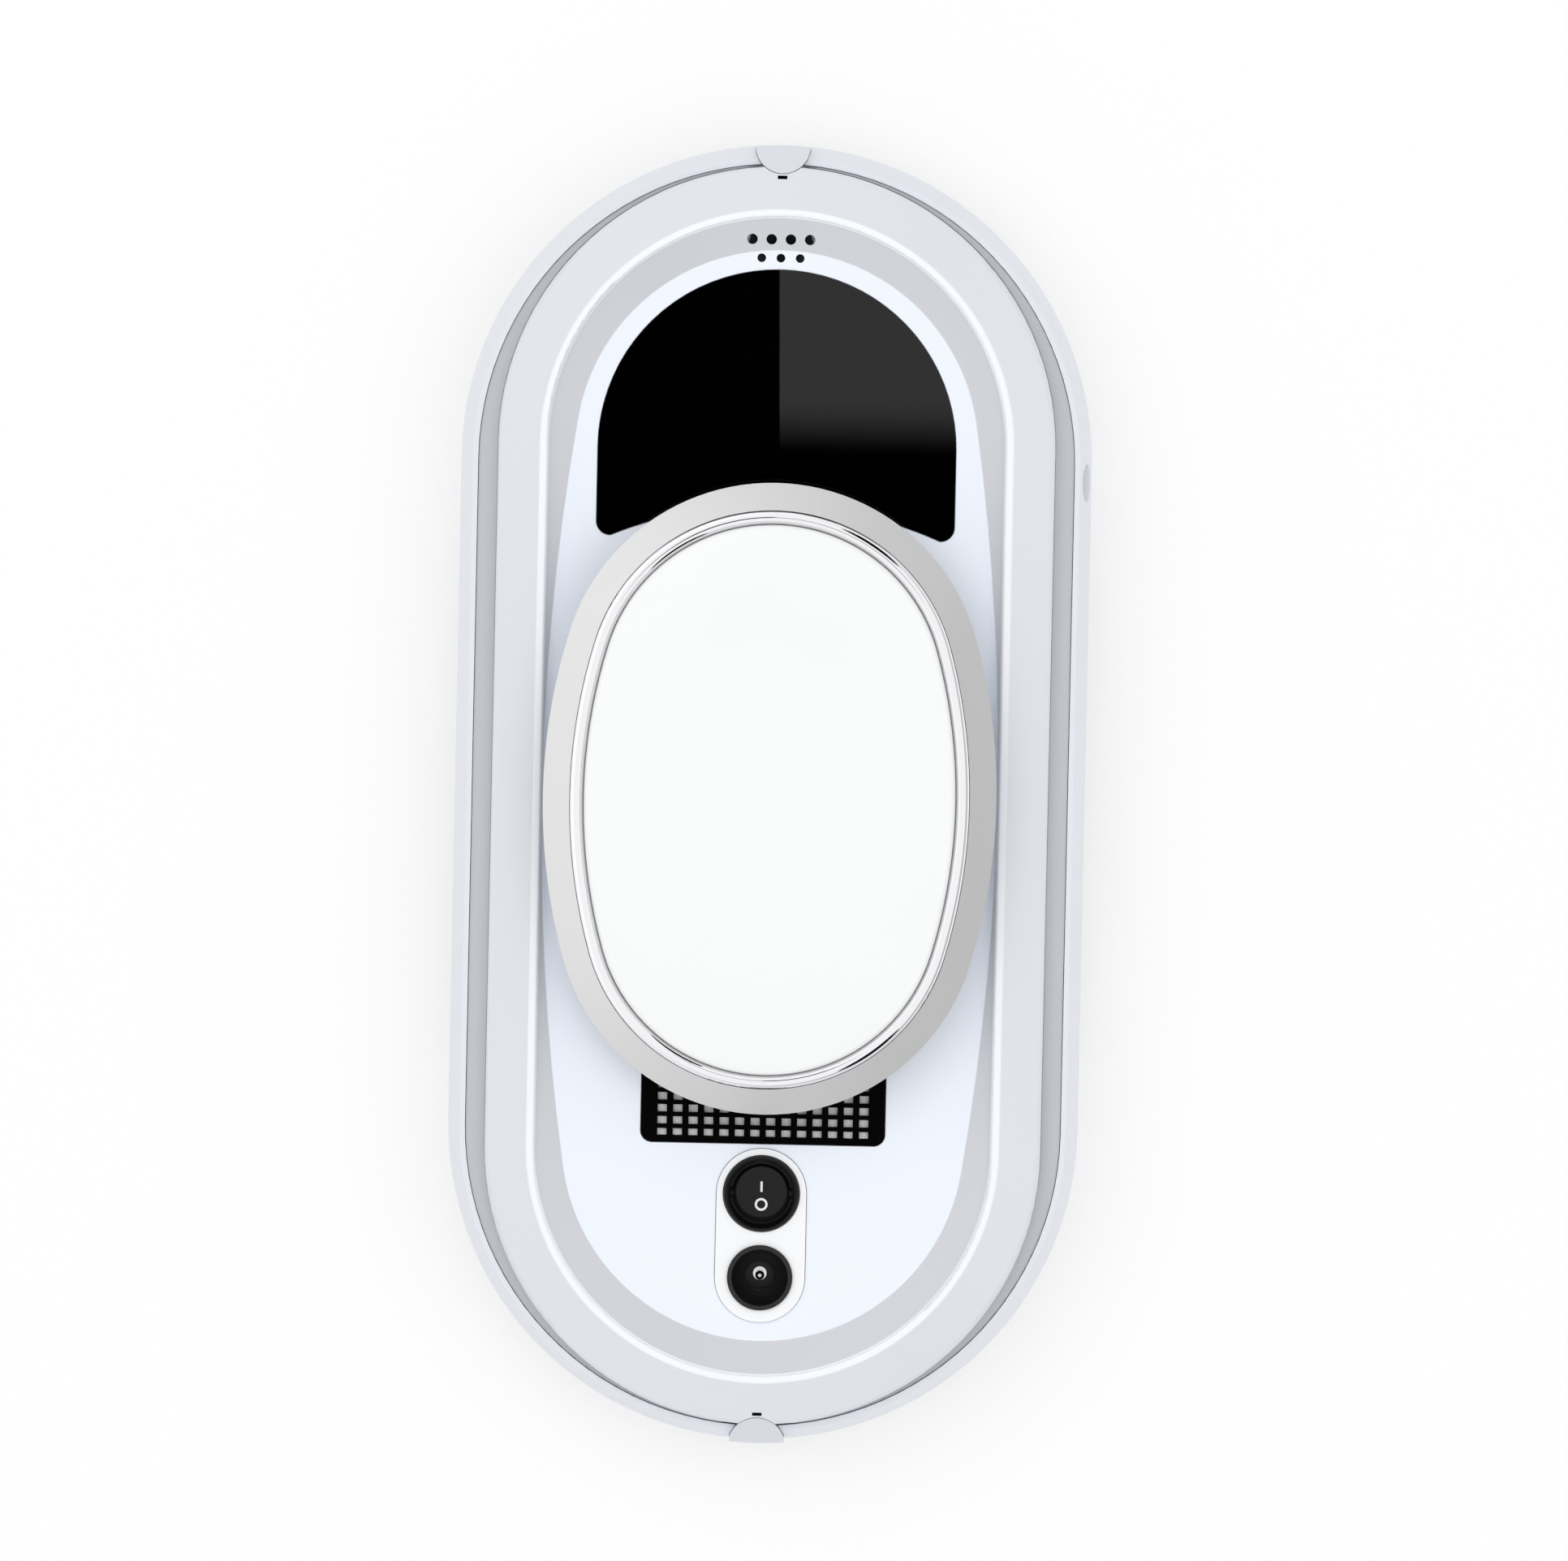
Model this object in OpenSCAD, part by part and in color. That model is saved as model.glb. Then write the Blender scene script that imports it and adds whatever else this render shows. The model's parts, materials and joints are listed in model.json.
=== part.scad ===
// Window cleaning robot: a stadium-shaped body on two turning pads, with a suction
// fan in the middle, a raised hub to hold it by, and a water spray at each end.
// Millimetres, +Z away from the glass, +Y along the body towards the black window.
// The origin is on the glass, under the middle of the body.

/* [Body] */
// Length of the body over the skirt
body_l = 298; // [294:1:304]
// Width of the body over the skirt
body_w = 145; // [143:1:149]
// Height of the skirt's lower edge above the glass
skirt_low = 11.2; // [11:0.2:12]
// Wall of the skirt
skirt_wall = 2.6; // [2.2:0.1:2.8]
// Width in plan of the skirt's sloping upper band
skirt_slope_w = 2.9; // [2.4:0.1:3.1]
// Height of the skirt's sloping upper band
skirt_slope_h = 14; // [10:1:18]
// Width of the skirt's flat rim
skirt_rim_w = 1.2; // [1:0.1:1.4]
// Clear height between the floor and the panel
inner_h = 21.1; // [20.5:0.1:24]
// Thickness of the floor
floor_t = 2.5; // [2.3:0.1:3.2]
// Height of the tray's wall above the floor
tray_wall_h = 15.9; // [15:0.1:16.4]
// Wall of the tray
tray_wall = 2.6; // [2.2:0.1:3]

/* [Cover] */
// Width of a grey side inlay at the waist
inlay_w = 4.3; // [3.8:0.1:4.8]
// Gap between the cover's edge and its flange's edge at each end
cover_end_gap = 0.5; // [0.4:0.05:0.8]
// Wall of the cover
cover_wall = 2; // [1.8:0.1:2.2]
// Width in plan of the cover's sloping shoulder
shoulder_w = 9.8; // [9:0.1:10]
// Rise of the cover's shoulder
shoulder_rise = 2.9; // [2:0.1:3.6]
// Width of the ridge's crest
crest_w = 1.6; // [1.2:0.1:2]
// Rounding of the cover's upper edge
edge_round = 1.6; // [1.2:0.1:2]
// Rounding of the ridge's inner edge
crest_round = 0.6; // [0.4:0.1:0.8]
// Depth of the panel below the ridge
recess_depth = 5; // [4.8:0.1:5.4]
// Width of the band between panel and ridge at each end
end_band = 7.85; // [7.25:0.05:8.45]
// Slope of the band between panel and ridge, in degrees
recess_slope = 27; // [22:1:28]
// Thickness of the grey side inlays
inlay_t = 1.4; // [1.2:0.1:1.6]

/* [Window and vent] */
// Width of the panel on each side of the black window
window_side = 11.1; // [10.2:0.1:13]
// Gap between the window and the end of the panel
window_margin = 4.4; // [4:0.1:5.6]
// How far the window's lower corners reach back past the collar's end
window_tuck = 13; // [11.4:0.2:14.2]
// Radius of the window's hollow lower edge
window_hollow_r = 96.5; // [92:0.5:104]
// Thickness of the window and the vent plate
pane_t = 1.2; // [1:0.1:1.4]
// Width of the vent plate
vent_w = 56; // [54:1:60]
// How far the vent plate shows past the collar's end
vent_reach = 7.6; // [7:0.1:8.2]
// Openings across the vent
vent_columns = 14; // [10:1:14]
// Rows of openings in the vent
vent_rows = 5; // [4:1:5]
// Pitch of the openings across
vent_pitch_x = 3.56; // [3.3:0.02:3.6]
// Pitch of the openings along the body
vent_pitch_y = 2.75; // [2.6:0.05:2.8]
// Width of one opening
vent_hole_x = 2.1; // [1.8:0.1:2.3]
// Length of one opening
vent_hole_y = 1.75; // [1.5:0.05:1.9]
// Radius of the upper row of sound holes
sound_hole_r = 1.2; // [1:0.1:1.4]
// Pitch of the sound holes
sound_pitch = 4.4; // [4:0.1:4.8]

/* [Hub] */
// Gap in plan between the silver collar and the ridge
collar_gap = 0.6; // [0.3:0.1:1.4]
// Length of the silver collar
collar_l = 144.4; // [142:0.2:146]
// Width in plan of the collar's bevel
bevel_w = 6.1; // [5.5:0.1:6.6]
// Height of the collar's bevel
bevel_h = 5.9; // [5:0.1:6.5]
// Height of the collar's upright lip
collar_lip = 1.3; // [1:0.1:2]
// Height of the finger gap under the collar
grip_h = 13.4; // [12:0.1:16]
// Depth of the finger gap under the collar
grip_depth = 9.8; // [9:0.1:10]
// Wall of the neck
neck_wall = 2.2; // [1.8:0.1:2.3]
// Width of the chrome ring
chrome_w = 3.3; // [3:0.1:3.6]
// Rise of the hub cap over the collar
cap_rise = 4.9; // [4.5:0.1:6]
// Radius of the cap's crown
cap_crown_r = 117; // [110:1:160]

/* [Switch and socket] */
// Gap between the vent plate and the plate round switch and socket
switch_gap = 1.1; // [0.9:0.1:1.5]
// Distance from the switch to the power socket
socket_step = 19.3; // [19:0.1:19.7]
// Outer radius of the switch's bezel
switch_r = 8.9; // [8.7:0.1:9.1]
// Outer radius of the power socket
socket_r = 7.5; // [7.3:0.1:7.8]
// Radius of the socket's bore
socket_bore_r = 3.4; // [3.2:0.1:3.6]
// Radius of the socket's centre pin
socket_pin_r = 1.05; // [0.95:0.05:1.25]
// Radius of the ends of the plate round switch and socket
switch_plate_r = 10.3; // [10:0.1:10.5]
// Tilt of the rocker either way from level, in degrees
rocker_tilt = 9; // [7:1:10]

/* [Pads and discs] */
// How far a pad's centre lies inside the centre of the body's round end
pad_inset = 1.5; // [1:0.25:2]
// Outer diameter of a cleaning pad
pad_d = 141; // [136:1:142]
// Inner diameter of a cleaning pad
pad_in_d = 98; // [92:1:104]
// Thickness of a cleaning pad
pad_h = 7; // [6:0.5:9]
// How far a disc's edge lies inside the edge of its pad
disc_inset = 1; // [1:0.5:3]
// Thickness of a pad disc
disc_t = 3; // [2.6:0.1:3.4]
// Radius of the bearing's bore
bearing_in_r = 17; // [16.7:0.1:17.3]
// Radius of the bearing's outside
bearing_out_r = 23.5; // [23:0.1:24]
// Width of the bearing
bearing_w = 6; // [5.5:0.1:6.3]
// Radius of the suction port through the bearing
port_r = 13.6; // [13:0.1:13.8]

/* [Drive] */
// Pitch diameter of the disc's drive gear
drive_gear_d = 60; // [59:0.5:61]
// Teeth of the disc's drive gear
drive_teeth = 60; // [60:1:60]
// Teeth of both pinions
pinion_teeth = 12; // [12:1:12]
// Face width of the drive gear
drive_gear_h = 5; // [4.8:0.1:6]
// Pitch diameter of the reduction gear
reduction_gear_d = 28.8; // [28.5:0.1:29.1]
// Teeth of the reduction gear
reduction_teeth = 36; // [36:1:36]
// Face width of the reduction gear
reduction_gear_h = 3.5; // [3.2:0.1:3.7]
// Radius of a drive motor
motor_r = 12.2; // [11.5:0.1:12.4]
// Height of a drive motor
motor_h = 11; // [9:0.5:11]
// Radius of a gear shaft
shaft_r = 1.5; // [1.3:0.1:1.7]

/* [Suction] */
// Width of the suction duct
duct_w = 40; // [38:0.5:40]
// Height of the suction duct
duct_h = 10.5; // [10.2:0.1:10.8]
// Wall of the suction duct
duct_wall = 1.5; // [1.2:0.1:1.8]
// Radius of the fan's housing
fan_r = 36; // [34:0.5:36]
// Height of the fan's housing
fan_h = 13; // [12:0.5:14]
// Radius of the impeller
impeller_r = 29; // [27:0.5:30]
// Blades of the impeller
impeller_blades = 11; // [7:1:13]
// Radius of the fan's motor
fan_motor_r = 14; // [12:0.5:16]
// Height of the fan's motor
fan_motor_h = 13; // [11:0.5:14]

/* [Spray] */
// Radius of a half-round nozzle cover
nozzle_r = 6.3; // [5.8:0.1:6.8]
// Width of the water tank
tank_w = 54; // [50:1:54]
// Length of the water tank
tank_l = 53.5; // [48:0.5:53.5]
// Wall of the water tank
tank_wall = 1.5; // [1.2:0.1:1.8]
// Radius of the filler neck's bore
filler_bore_r = 2; // [1.8:0.1:2.1]
// Outer radius of a water hose
hose_r = 1.3; // [1.2:0.05:1.4]
// Radius of the pump's head
pump_r = 10; // [9:0.2:10]

/* [Board and battery] */
// Width of the circuit board
board_w = 30; // [26:1:30]
// Length of the circuit board
board_l = 54; // [46:1:56]
// Thickness of the circuit board
board_t = 1.6; // [1.2:0.1:2]
// Radius of a battery cell
cell_r = 9.2; // [9:0.1:9.3]
// Length of a battery cell
cell_l = 65; // [60:1:66]
// Radius of the speaker
speaker_r = 7.4; // [6.5:0.1:7.6]

/* [Hidden] */

// Fineness of circles, of the long arcs in the ovals and of small rounds
$fn = 96;
long_fn = 256;
small_fn = 32;
// Overrun of a cut past the face that it leaves
cut = 1;
// Clearance between pieces that stay together
fit = 0.05;
// Clearance round a piece that is set into an aperture
set_gap = 0.15;
// Radial clearance of a turning shaft in its bush
run_fit = 0.06;
// Clearance beside gears and discs that turn
run_gap = 1;

// Heights, from the glass up
disc_top = pad_h + disc_t;
floor_z = disc_top + drive_gear_h + run_gap;
floor_top = floor_z + floor_t;
wall_top = floor_top + tray_wall_h;
panel_under = floor_top + inner_h;
panel_z = panel_under + cover_wall;
ridge_z = panel_z + recess_depth;
flange_t = 2;
flange_top = wall_top + flange_t;
rim_over_inlay = 0.8;
skirt_top = flange_top + inlay_t + rim_over_inlay;
slope_foot_z = skirt_top - skirt_slope_h;
edge_z = ridge_z - shoulder_rise;
duct_top = floor_top + duct_h;

// Plan of the body: an outline is two end arcs about y = +-c and the sides between
body_r = body_w / 2;
body_c = body_l / 2 - body_r;
opening_r = body_r - skirt_slope_w - skirt_rim_w;
flange_r = opening_r - set_gap;
cover_r = flange_r - set_gap - inlay_w;
cover_c = body_c + flange_r - cover_end_gap - cover_r;
ridge_r = cover_r - shoulder_w - crest_w;
tray_r = body_r - skirt_wall - set_gap;
tray_in_r = tray_r - tray_wall;
shoulder_slope = atan2(shoulder_rise, shoulder_w);

// Panel and the band that slopes from it up to the ridge
waist_band = 0.3;
panel_core = 8;
panel_hw = ridge_r - waist_band;
panel_hl = cover_c + ridge_r - end_band;
panel_end_r = joined_end_r(panel_hw, panel_hl, atan2(13, 84));
inlay_tip = 7.5;

// Half width and half length of the collar
collar_hw = ridge_r - collar_gap;
collar_hl = collar_l / 2;

// Window, vent and sound holes
window_corner_r = 3.2;
window_ledge = 2.4;
window_r = panel_hw - window_side;
window_end = panel_hl - window_margin;
window_start = collar_hl - window_tuck;
window_c = window_end - window_r;
pane_proud = 0.2;
pane_z = panel_z + pane_proud - pane_t;
vent_end = collar_hl + vent_reach;
vent_corner_r = 2.6;
vent_margin = 2.3;
vent_neck_gap = 1.2;
vent_ledge = 1.2;
filter_t = 1.2;
filter_margin = 1.6;
sound_holes_upper = 4;
sound_holes_lower = 3;
sound_step = 4.3;
sound_gap = 7;
sound_y = window_end + sound_gap;
lower_hole_shrink = 0.2;

// Hub: its outlines are the collar's, taken in
collar_end_r = joined_end_r(collar_hw, collar_hl, atan2(7, 24));
collar_z = panel_z + grip_h;
bevel_z = collar_z + collar_lip;
collar_top = bevel_z + bevel_h;
neck_in = grip_depth + neck_wall;
neck_flange_w = 2.6;
neck_flange_t = 2;
flange_in = neck_in + neck_flange_w;
seat_drop = 1.6;
seat_z = collar_top - seat_drop;
seat_step = 1.4;
seat_in = neck_in + seat_step;
chrome_foot_h = 1.3;
cap_in = bevel_w + chrome_w;
cap_run = 28;
cap_top = collar_top + cap_rise;
cap_round = 1.4;
cap_wall = 2.4;
cap_ceiling_z = collar_top + cap_rise - cap_wall * 2;
cap_spigot_t = 1.6;
cap_spigot_z = collar_z + cut;
hub_screw_r = 0.8;
hub_screw_head_r = 1.25;
hub_screw_head_h = 1.1;

// Switch and socket
plate_rise = 0.9;
plate_z = panel_z + plate_rise;
plate_floor = panel_z - cover_wall / 2;
switch_y = vent_end + switch_gap + switch_plate_r;
socket_y = switch_y + socket_step;
bezel_rise = 0.7;
switch_body_r = 8.1;
well_r = 7.2;
well_bevel = 0.8;
switch_depth = 11.6;
rocker_r = 6.7;
rocker_face_r = 5.8;
rocker_h = 2.6;
rocker_sink = 0.5;
rocker_below = 1.5;
rocker_dish = 0.5;
rocker_pin_r = 1;
rocker_pin_end = 7.7;
rocker_axis_z = plate_z + bezel_rise - rocker_sink - rocker_h;
socket_barrel_r = 6.9;
socket_depth = 17;
socket_funnel = 6.5;
socket_funnel_r = 6.5;
socket_bore_l = 9;
socket_face_z = plate_z + bezel_rise;
pin_below = 1;
pin_foot_step = 0.5;
pin_tip_z = socket_face_z - socket_funnel - pin_below;

// Pads, discs, bearings and suction guards
pad_c = body_c - pad_inset;
pad_r = pad_d / 2;
pad_in_r = pad_in_d / 2;
pad_round = 2;
disc_r = pad_r - disc_inset;
disc_rim_h = 1.1;
disc_rim_w = 1.4;
rib_n = 12;
rib_t = 1.6;
rib_h = 2;
seat_lip_h = 1.6;
seat_lip_w = 1.8;
bearing_z = pad_h + seat_lip_h;
bearing_top = bearing_z + bearing_w;
race_t = 2;
ball_n = 16;
ball_gap = 0.08;
ball_orbit = (bearing_in_r + bearing_out_r) / 2;
ball_r = (bearing_out_r - bearing_in_r) / 2 - race_t + race_t / 4 - ball_gap;
hub_wall = 3;
disc_hub_r = bearing_out_r + hub_wall;
spigot_step = 2.4;
guard_r = bearing_in_r + race_t - fit;
guard_slot_n = 7;
guard_slot_w = 2.4;
guard_slot_pitch = 3.9;
guard_screw_n = 3;
guard_screw_r = 0.7;
guard_head_r = 1.3;
guard_head_h = 0.6;
guard_screw_l = 5;

// Gears: proportions of the teeth, then places and heights
pressure_angle = 25;
flank_steps = 3;
backlash = 0.14;
addendum_share = 0.9;
dedendum_share = 1.15;
drive_module = drive_gear_d / drive_teeth;
reduction_module = reduction_gear_d / reduction_teeth;
drive_pitch_r = drive_gear_d / 2;
pinion_pitch_r = drive_module * pinion_teeth / 2;
reduction_pitch_r = reduction_gear_d / 2;
motor_pitch_r = reduction_module * pinion_teeth / 2;
motor_turn = -70;
gear_x = drive_pitch_r + pinion_pitch_r;
gear_y = pad_c;
motor_x = gear_x + (reduction_pitch_r + motor_pitch_r) * cos(motor_turn);
motor_y = gear_y + (reduction_pitch_r + motor_pitch_r) * sin(motor_turn);
pinion_z = disc_top + run_gap / 2;
bush_wall = 1.6;
bush_h = 1.8;
reduction_z = floor_top + bush_h + run_gap / 2;
gear_cover_t = 2;
gear_cover_z = reduction_z + reduction_gear_h + run_gap;
gear_cover_top = gear_cover_z + gear_cover_t;
gear_side_gap = 0.4;
gear_post_r = 2.2;
gear_post_turns = [58, 122];
gear_plate_r = reduction_pitch_r + reduction_module + gear_side_gap + gear_post_r / 2;
gear_post_orbit = gear_plate_r + gear_post_r / 2;
motor_post_orbit = motor_r + gear_post_r / 2;
motor_boss_r = 3.1;
motor_boss_h = 1;
motor_shaft_r = 0.9;
motor_round = 1;

// Suction fan
fan_z = duct_top;
fan_base_t = 1.6;
fan_top = fan_z + fan_base_t + fan_h;
inlet_r = 13;
fan_wall = 1.6;
impeller_gap = 1;
impeller_z = fan_z + fan_base_t + impeller_gap;
impeller_h = fan_h - fan_wall - 2 * impeller_gap;
impeller_plate_t = 1.2;
impeller_eye_r = 12;
impeller_hub_r = 4;
blade_t = 1;
blade_arc_r = 22;
fan_shaft_r = 1.5;
fan_shaft_hole_r = 3;
fan_shaft_end = 2;
fan_outlet_w = 34;
fan_outlet_sill = 1.4;
fan_motor_round = 1.6;

// Nozzles: each tip is in the middle of its cover, with a barb for the hose
nozzle_depth = 8;
nozzle_lip_drop = 1.8;
nozzle_crown = 0.5;
hose_rise = 4;
nozzle_z = wall_top - nozzle_depth;
nozzle_lip_z = skirt_top - nozzle_lip_drop;
hose_z = nozzle_z + hose_rise;
nozzle_step = 1.2;
nozzle_tip_r = 1.8;
nozzle_hole_r = 0.35;
barb_l = 3.7;
slit_w = 2.2;
slit_l = 0.8;
slit_gap = 0.35;

// Speaker, in a ring under the sound holes
speaker_h = 3.4;
speaker_wall = 1.2;
speaker_shift = 2;
speaker_gap = 0.2;
speaker_y = sound_y - speaker_shift;
speaker_top = panel_under - speaker_gap;

// Water tank, which ends short of the speaker; filler, pump and hoses
tank_gap = 1.5;
tank_end = speaker_y - speaker_r - speaker_wall - tank_gap;
tank_start = tank_end - tank_l;
tank_corner_r = 8;
tank_head_gap = 0.3;
tank_z = duct_top;
tank_top = panel_under - tank_head_gap;
filler_shift = 2;
filler_gap = 0.3;
filler_neck_wall = 1;
filler_y = pad_c - filler_shift;
filler_z = gear_cover_top + filler_neck_wall + filler_bore_r + filler_gap;
plug_head_r = 4.2;
plug_head_t = 1.5;
plug_sink = 0.6;
plug_stem_l = 9;
plug_nick = 1.2;
plug_seat_x = body_r - skirt_slope_w * (filler_z - slope_foot_z) / skirt_slope_h - plug_head_t - plug_sink;
pump_gap = 2;
pump_back = 9.5;
pump_step = 1.5;
pump_x = -tank_w / 2 - pump_gap - pump_r;
pump_y = tank_end - pump_back;
pump_can_r = pump_r - pump_step;
pump_can_h = 9;
pump_head_h = 7.5;
pump_inlet_r = 1;
pump_inlet_rise = 0.5;
pump_inlet_z = tank_z + tank_wall + pump_inlet_r + pump_inlet_rise;
hose_bore_r = hose_r / 2;
hose_bend_r = 6;
hose_end_gap = 0.4;
hose_wall_gap = 2.35;
rear_hose_x = -tray_in_r + hose_wall_gap + hose_r;
hose_back = 17.7;
hose_cross_y = body_l / 2 - nozzle_r - hose_back;
rear_bend_r = 44;
rear_bend_past = 4.5;
rear_cross_y = body_c + rear_bend_past + rear_bend_r;

// Screws into the cover, and the bosses that they are driven into
boss_r = 3.1;
boss_gap = 1;
screw_orbit = cover_r - cover_wall - boss_r - boss_gap;
screw_y = 22;
screw_turn = 58;
screw_r = 1.25;
screw_head_r = 2.7;
screw_head_h = 1.1;
screw_l = 14;

// Board, battery and edge sensors, each set off from the tray's wall
board_side = 14.15;
board_gap = 8;
board_x = board_side - tray_in_r;
board_y = screw_y + board_gap;
board_lift = 3;
board_inset = 3;
board_post_r = 2;
board_hole_r = 1;
chip_t = 1.4;
chip_w = 8;
can_r = 2.6;
can_h = 4.5;
plug_block_h = 4;
chip_places_share = [[0.32, 0.26], [0.66, 0.5], [0.32, 0.74]];
can_places_share = [[0.74, 0.2], [0.24, 0.5], [0.7, 0.74]];
battery_side = 9.25;
battery_past = 30.5;
battery_x = tray_in_r - battery_side - 2 * cell_r;
battery_y = -body_c - battery_past;
cell_gap = 0.1;
cradle_t = 1.5;
cradle_h = 8;
sensor_r = 3.2;
sensor_flange_w = 1.2;
sensor_flange_t = 1.2;
sensor_gap = 1.75;
sensor_x = tray_in_r - sensor_gap - sensor_flange_w - sensor_r;

// Colours, as the photograph shows them
white_shell = [0.87, 0.885, 0.91];
white_panel = [0.93, 0.945, 0.97];
grey_trim = [0.76, 0.765, 0.785];
black_gloss = [0.02, 0.02, 0.022];
black_matt = [0.07, 0.07, 0.075];
silver = [0.76, 0.76, 0.76];
chrome = [0.9, 0.9, 0.92];
pearl = [0.97, 0.975, 0.97];
dark_plastic = [0.2, 0.21, 0.23];
grey_plastic = [0.55, 0.56, 0.58];
natural_plastic = [0.9, 0.89, 0.84];
steel = [0.7, 0.71, 0.72];
brass = [0.78, 0.62, 0.32];
pad_white = [0.88, 0.9, 0.93];
board_green = [0.05, 0.3, 0.18];
wrap_blue = [0.12, 0.28, 0.55];

// Half thickness of an involute tooth at radius r, as an angle
function involute(a) = tan(a) * 180 / PI - a;
function tooth_half(r, base_r, pitch_r, teeth) =
    90 / teeth - backlash / (2 * pitch_r) * 180 / PI
        + involute(pressure_angle) - involute(acos(min(1, base_r / r)));

// Outline of a spur gear with involute flanks; its first tooth points along +X
function gear_outline(module_mm, teeth) =
    let (
        pitch_r = module_mm * teeth / 2,
        base_r = pitch_r * cos(pressure_angle),
        tip_r = pitch_r + module_mm * addendum_share,
        root_r = pitch_r - module_mm * dedendum_share,
        low_r = max(base_r, root_r),
        foot = tooth_half(low_r, base_r, pitch_r, teeth),
        radii = [for (i = [0:flank_steps]) low_r + (tip_r - low_r) * i / flank_steps]
    )
    [
        for (k = [0:teeth - 1])
            let (at = 360 * k / teeth)
            each concat(
                [polar(root_r, at - foot)],
                [for (r = radii) polar(r, at - tooth_half(r, base_r, pitch_r, teeth))],
                [
                    for (i = [0:flank_steps])
                        let (r = radii[flank_steps - i])
                        polar(r, at + tooth_half(r, base_r, pitch_r, teeth))
                ],
                [polar(root_r, at + foot)]
            )
    ];

function polar(r, turn) = [r * cos(turn), r * sin(turn)];

// Radius of the end arcs of an oval whose arcs meet where their radius makes a given
// angle with X. The angles used are those of whole-numbered right triangles, 7-24-25
// and 13-84-85, so that the centres and radii of the arcs come out as short decimals
function joined_end_r(hw, hl, turn) =
    let (share = (1 + cos(turn)) / sin(turn)) (share * hw - hl) / (share - 1);

// Radius of the side arcs that meet an oval's end arcs without a corner, and half
// the angle that a side arc spans
function side_arc_r(hw, hl, end_r) =
    let (c = hl - end_r) (hw * hw + c * c - end_r * end_r) / (2 * (hw - end_r));
function side_arc_turn(hw, hl, end_r) = atan2(hl - end_r, side_arc_r(hw, hl, end_r) - hw);

// Plan outline of a stadium: end circles of radius r about y = +-c
module stadium(r, c) {
    for (y = [c, -c]) translate([0, y]) circle(r);
    translate([-r, -c]) square([2 * r, 2 * c]);
}

// Upright solid on a stadium outline
module stadium_block(r, c, z, h) {
    translate([0, 0, z]) linear_extrude(h) stadium(r, c);
}

// Solid whose cross-section, drawn as radius and height, runs round a stadium
module stadium_body(c) {
    for (turn = [0, 180]) rotate(turn) translate([0, c, 0]) rotate_extrude(angle = 180) children();
    rotate([90, 0, 0]) linear_extrude(2 * c, center = true) {
        children();
        mirror([1, 0]) children();
    }
}

// Cuts away an upper corner of a cross-section, where a slope rises inwards from a
// wall at x, and leaves a round edge of radius r
module round_corner(x, z, slope, r) {
    reach = r / tan(45 + slope / 2);
    top = [x - reach * cos(slope), z + reach * sin(slope)];
    difference() {
        polygon([
            [x - r, z - reach], [x + cut, z - reach], [x + cut, z + cut],
            top + cut * [sin(slope), cos(slope)]
        ]);
        translate([x - r, z - reach]) circle(r, $fn = small_fn);
    }
}

// The part of the plan that belongs to an oval's two side arcs
module side_fan(hw, hl, end_r) {
    c = hl - end_r;
    far = hl * [cos(side_arc_turn(hw, hl, end_r)), sin(side_arc_turn(hw, hl, end_r))];
    polygon([
        [0, c], [far[0], c + far[1]], [far[0], -c - far[1]],
        [0, -c], [-far[0], -c - far[1]], [-far[0], c + far[1]]
    ]);
}

// The part of the plan that belongs to the end arc on +Y
module end_fan(hw, hl, end_r) {
    c = hl - end_r;
    far = hl * [cos(side_arc_turn(hw, hl, end_r)), sin(side_arc_turn(hw, hl, end_r))];
    polygon([[0, c], [far[0], c + far[1]], [far[0], 2 * hl], [-far[0], 2 * hl], [-far[0], c + far[1]]]);
}

// Plan outline of an oval of four arcs, with a margin all round
module oval(hw, hl, end_r, margin = 0) {
    side_r = side_arc_r(hw, hl, end_r);
    for (y = [hl - end_r, end_r - hl]) translate([0, y]) circle(end_r + margin);
    intersection() {
        translate([hw - side_r, 0]) circle(side_r + margin, $fn = long_fn);
        translate([side_r - hw, 0]) circle(side_r + margin, $fn = long_fn);
        side_fan(hw, hl, end_r);
    }
}

// Upright solid on an oval outline
module oval_block(hw, hl, end_r, margin, z, h) {
    translate([0, 0, z]) linear_extrude(h) oval(hw, hl, end_r, margin);
}

// Ring whose cross-section, drawn as margin and height, runs round an oval
module oval_ring(hw, hl, end_r) {
    side_r = side_arc_r(hw, hl, end_r);
    front_and_rear() {
        intersection() {
            translate([0, hl - end_r, 0]) rotate_extrude() translate([end_r, 0]) children();
            linear_extrude(4 * hl, center = true) end_fan(hw, hl, end_r);
        }
        intersection() {
            translate([hw - side_r, 0, 0]) rotate_extrude($fn = long_fn) translate([side_r, 0]) children();
            linear_extrude(4 * hl, center = true) side_fan(hw, hl, end_r);
        }
    }
}

// The hub's forms follow the collar's outline, taken in by inset all round
module hub_block(inset, z, h) {
    oval_block(collar_hw, collar_hl, collar_end_r, -inset, z, h);
}

module hub_ring() {
    oval_ring(collar_hw, collar_hl, collar_end_r) children();
}

// The rear end of the machine is the front end turned half round
module front_and_rear() {
    children();
    rotate(180) children();
}

module at_front() {
    translate([0, pad_c, 0]) children();
}

module at_rear() {
    rotate(180) at_front() children();
}

// Ring of rectangular cross-section
module ring(inner, outer, h) {
    difference() {
        cylinder(r = outer, h = h);
        translate([0, 0, -cut]) cylinder(r = inner, h = h + 2 * cut);
    }
}

// Screw with a flat head, head down
module screw(r, l, head_r, head_h) {
    cylinder(r = head_r, h = head_h, $fn = small_fn);
    cylinder(r = r, h = l, $fn = small_fn);
}

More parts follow.
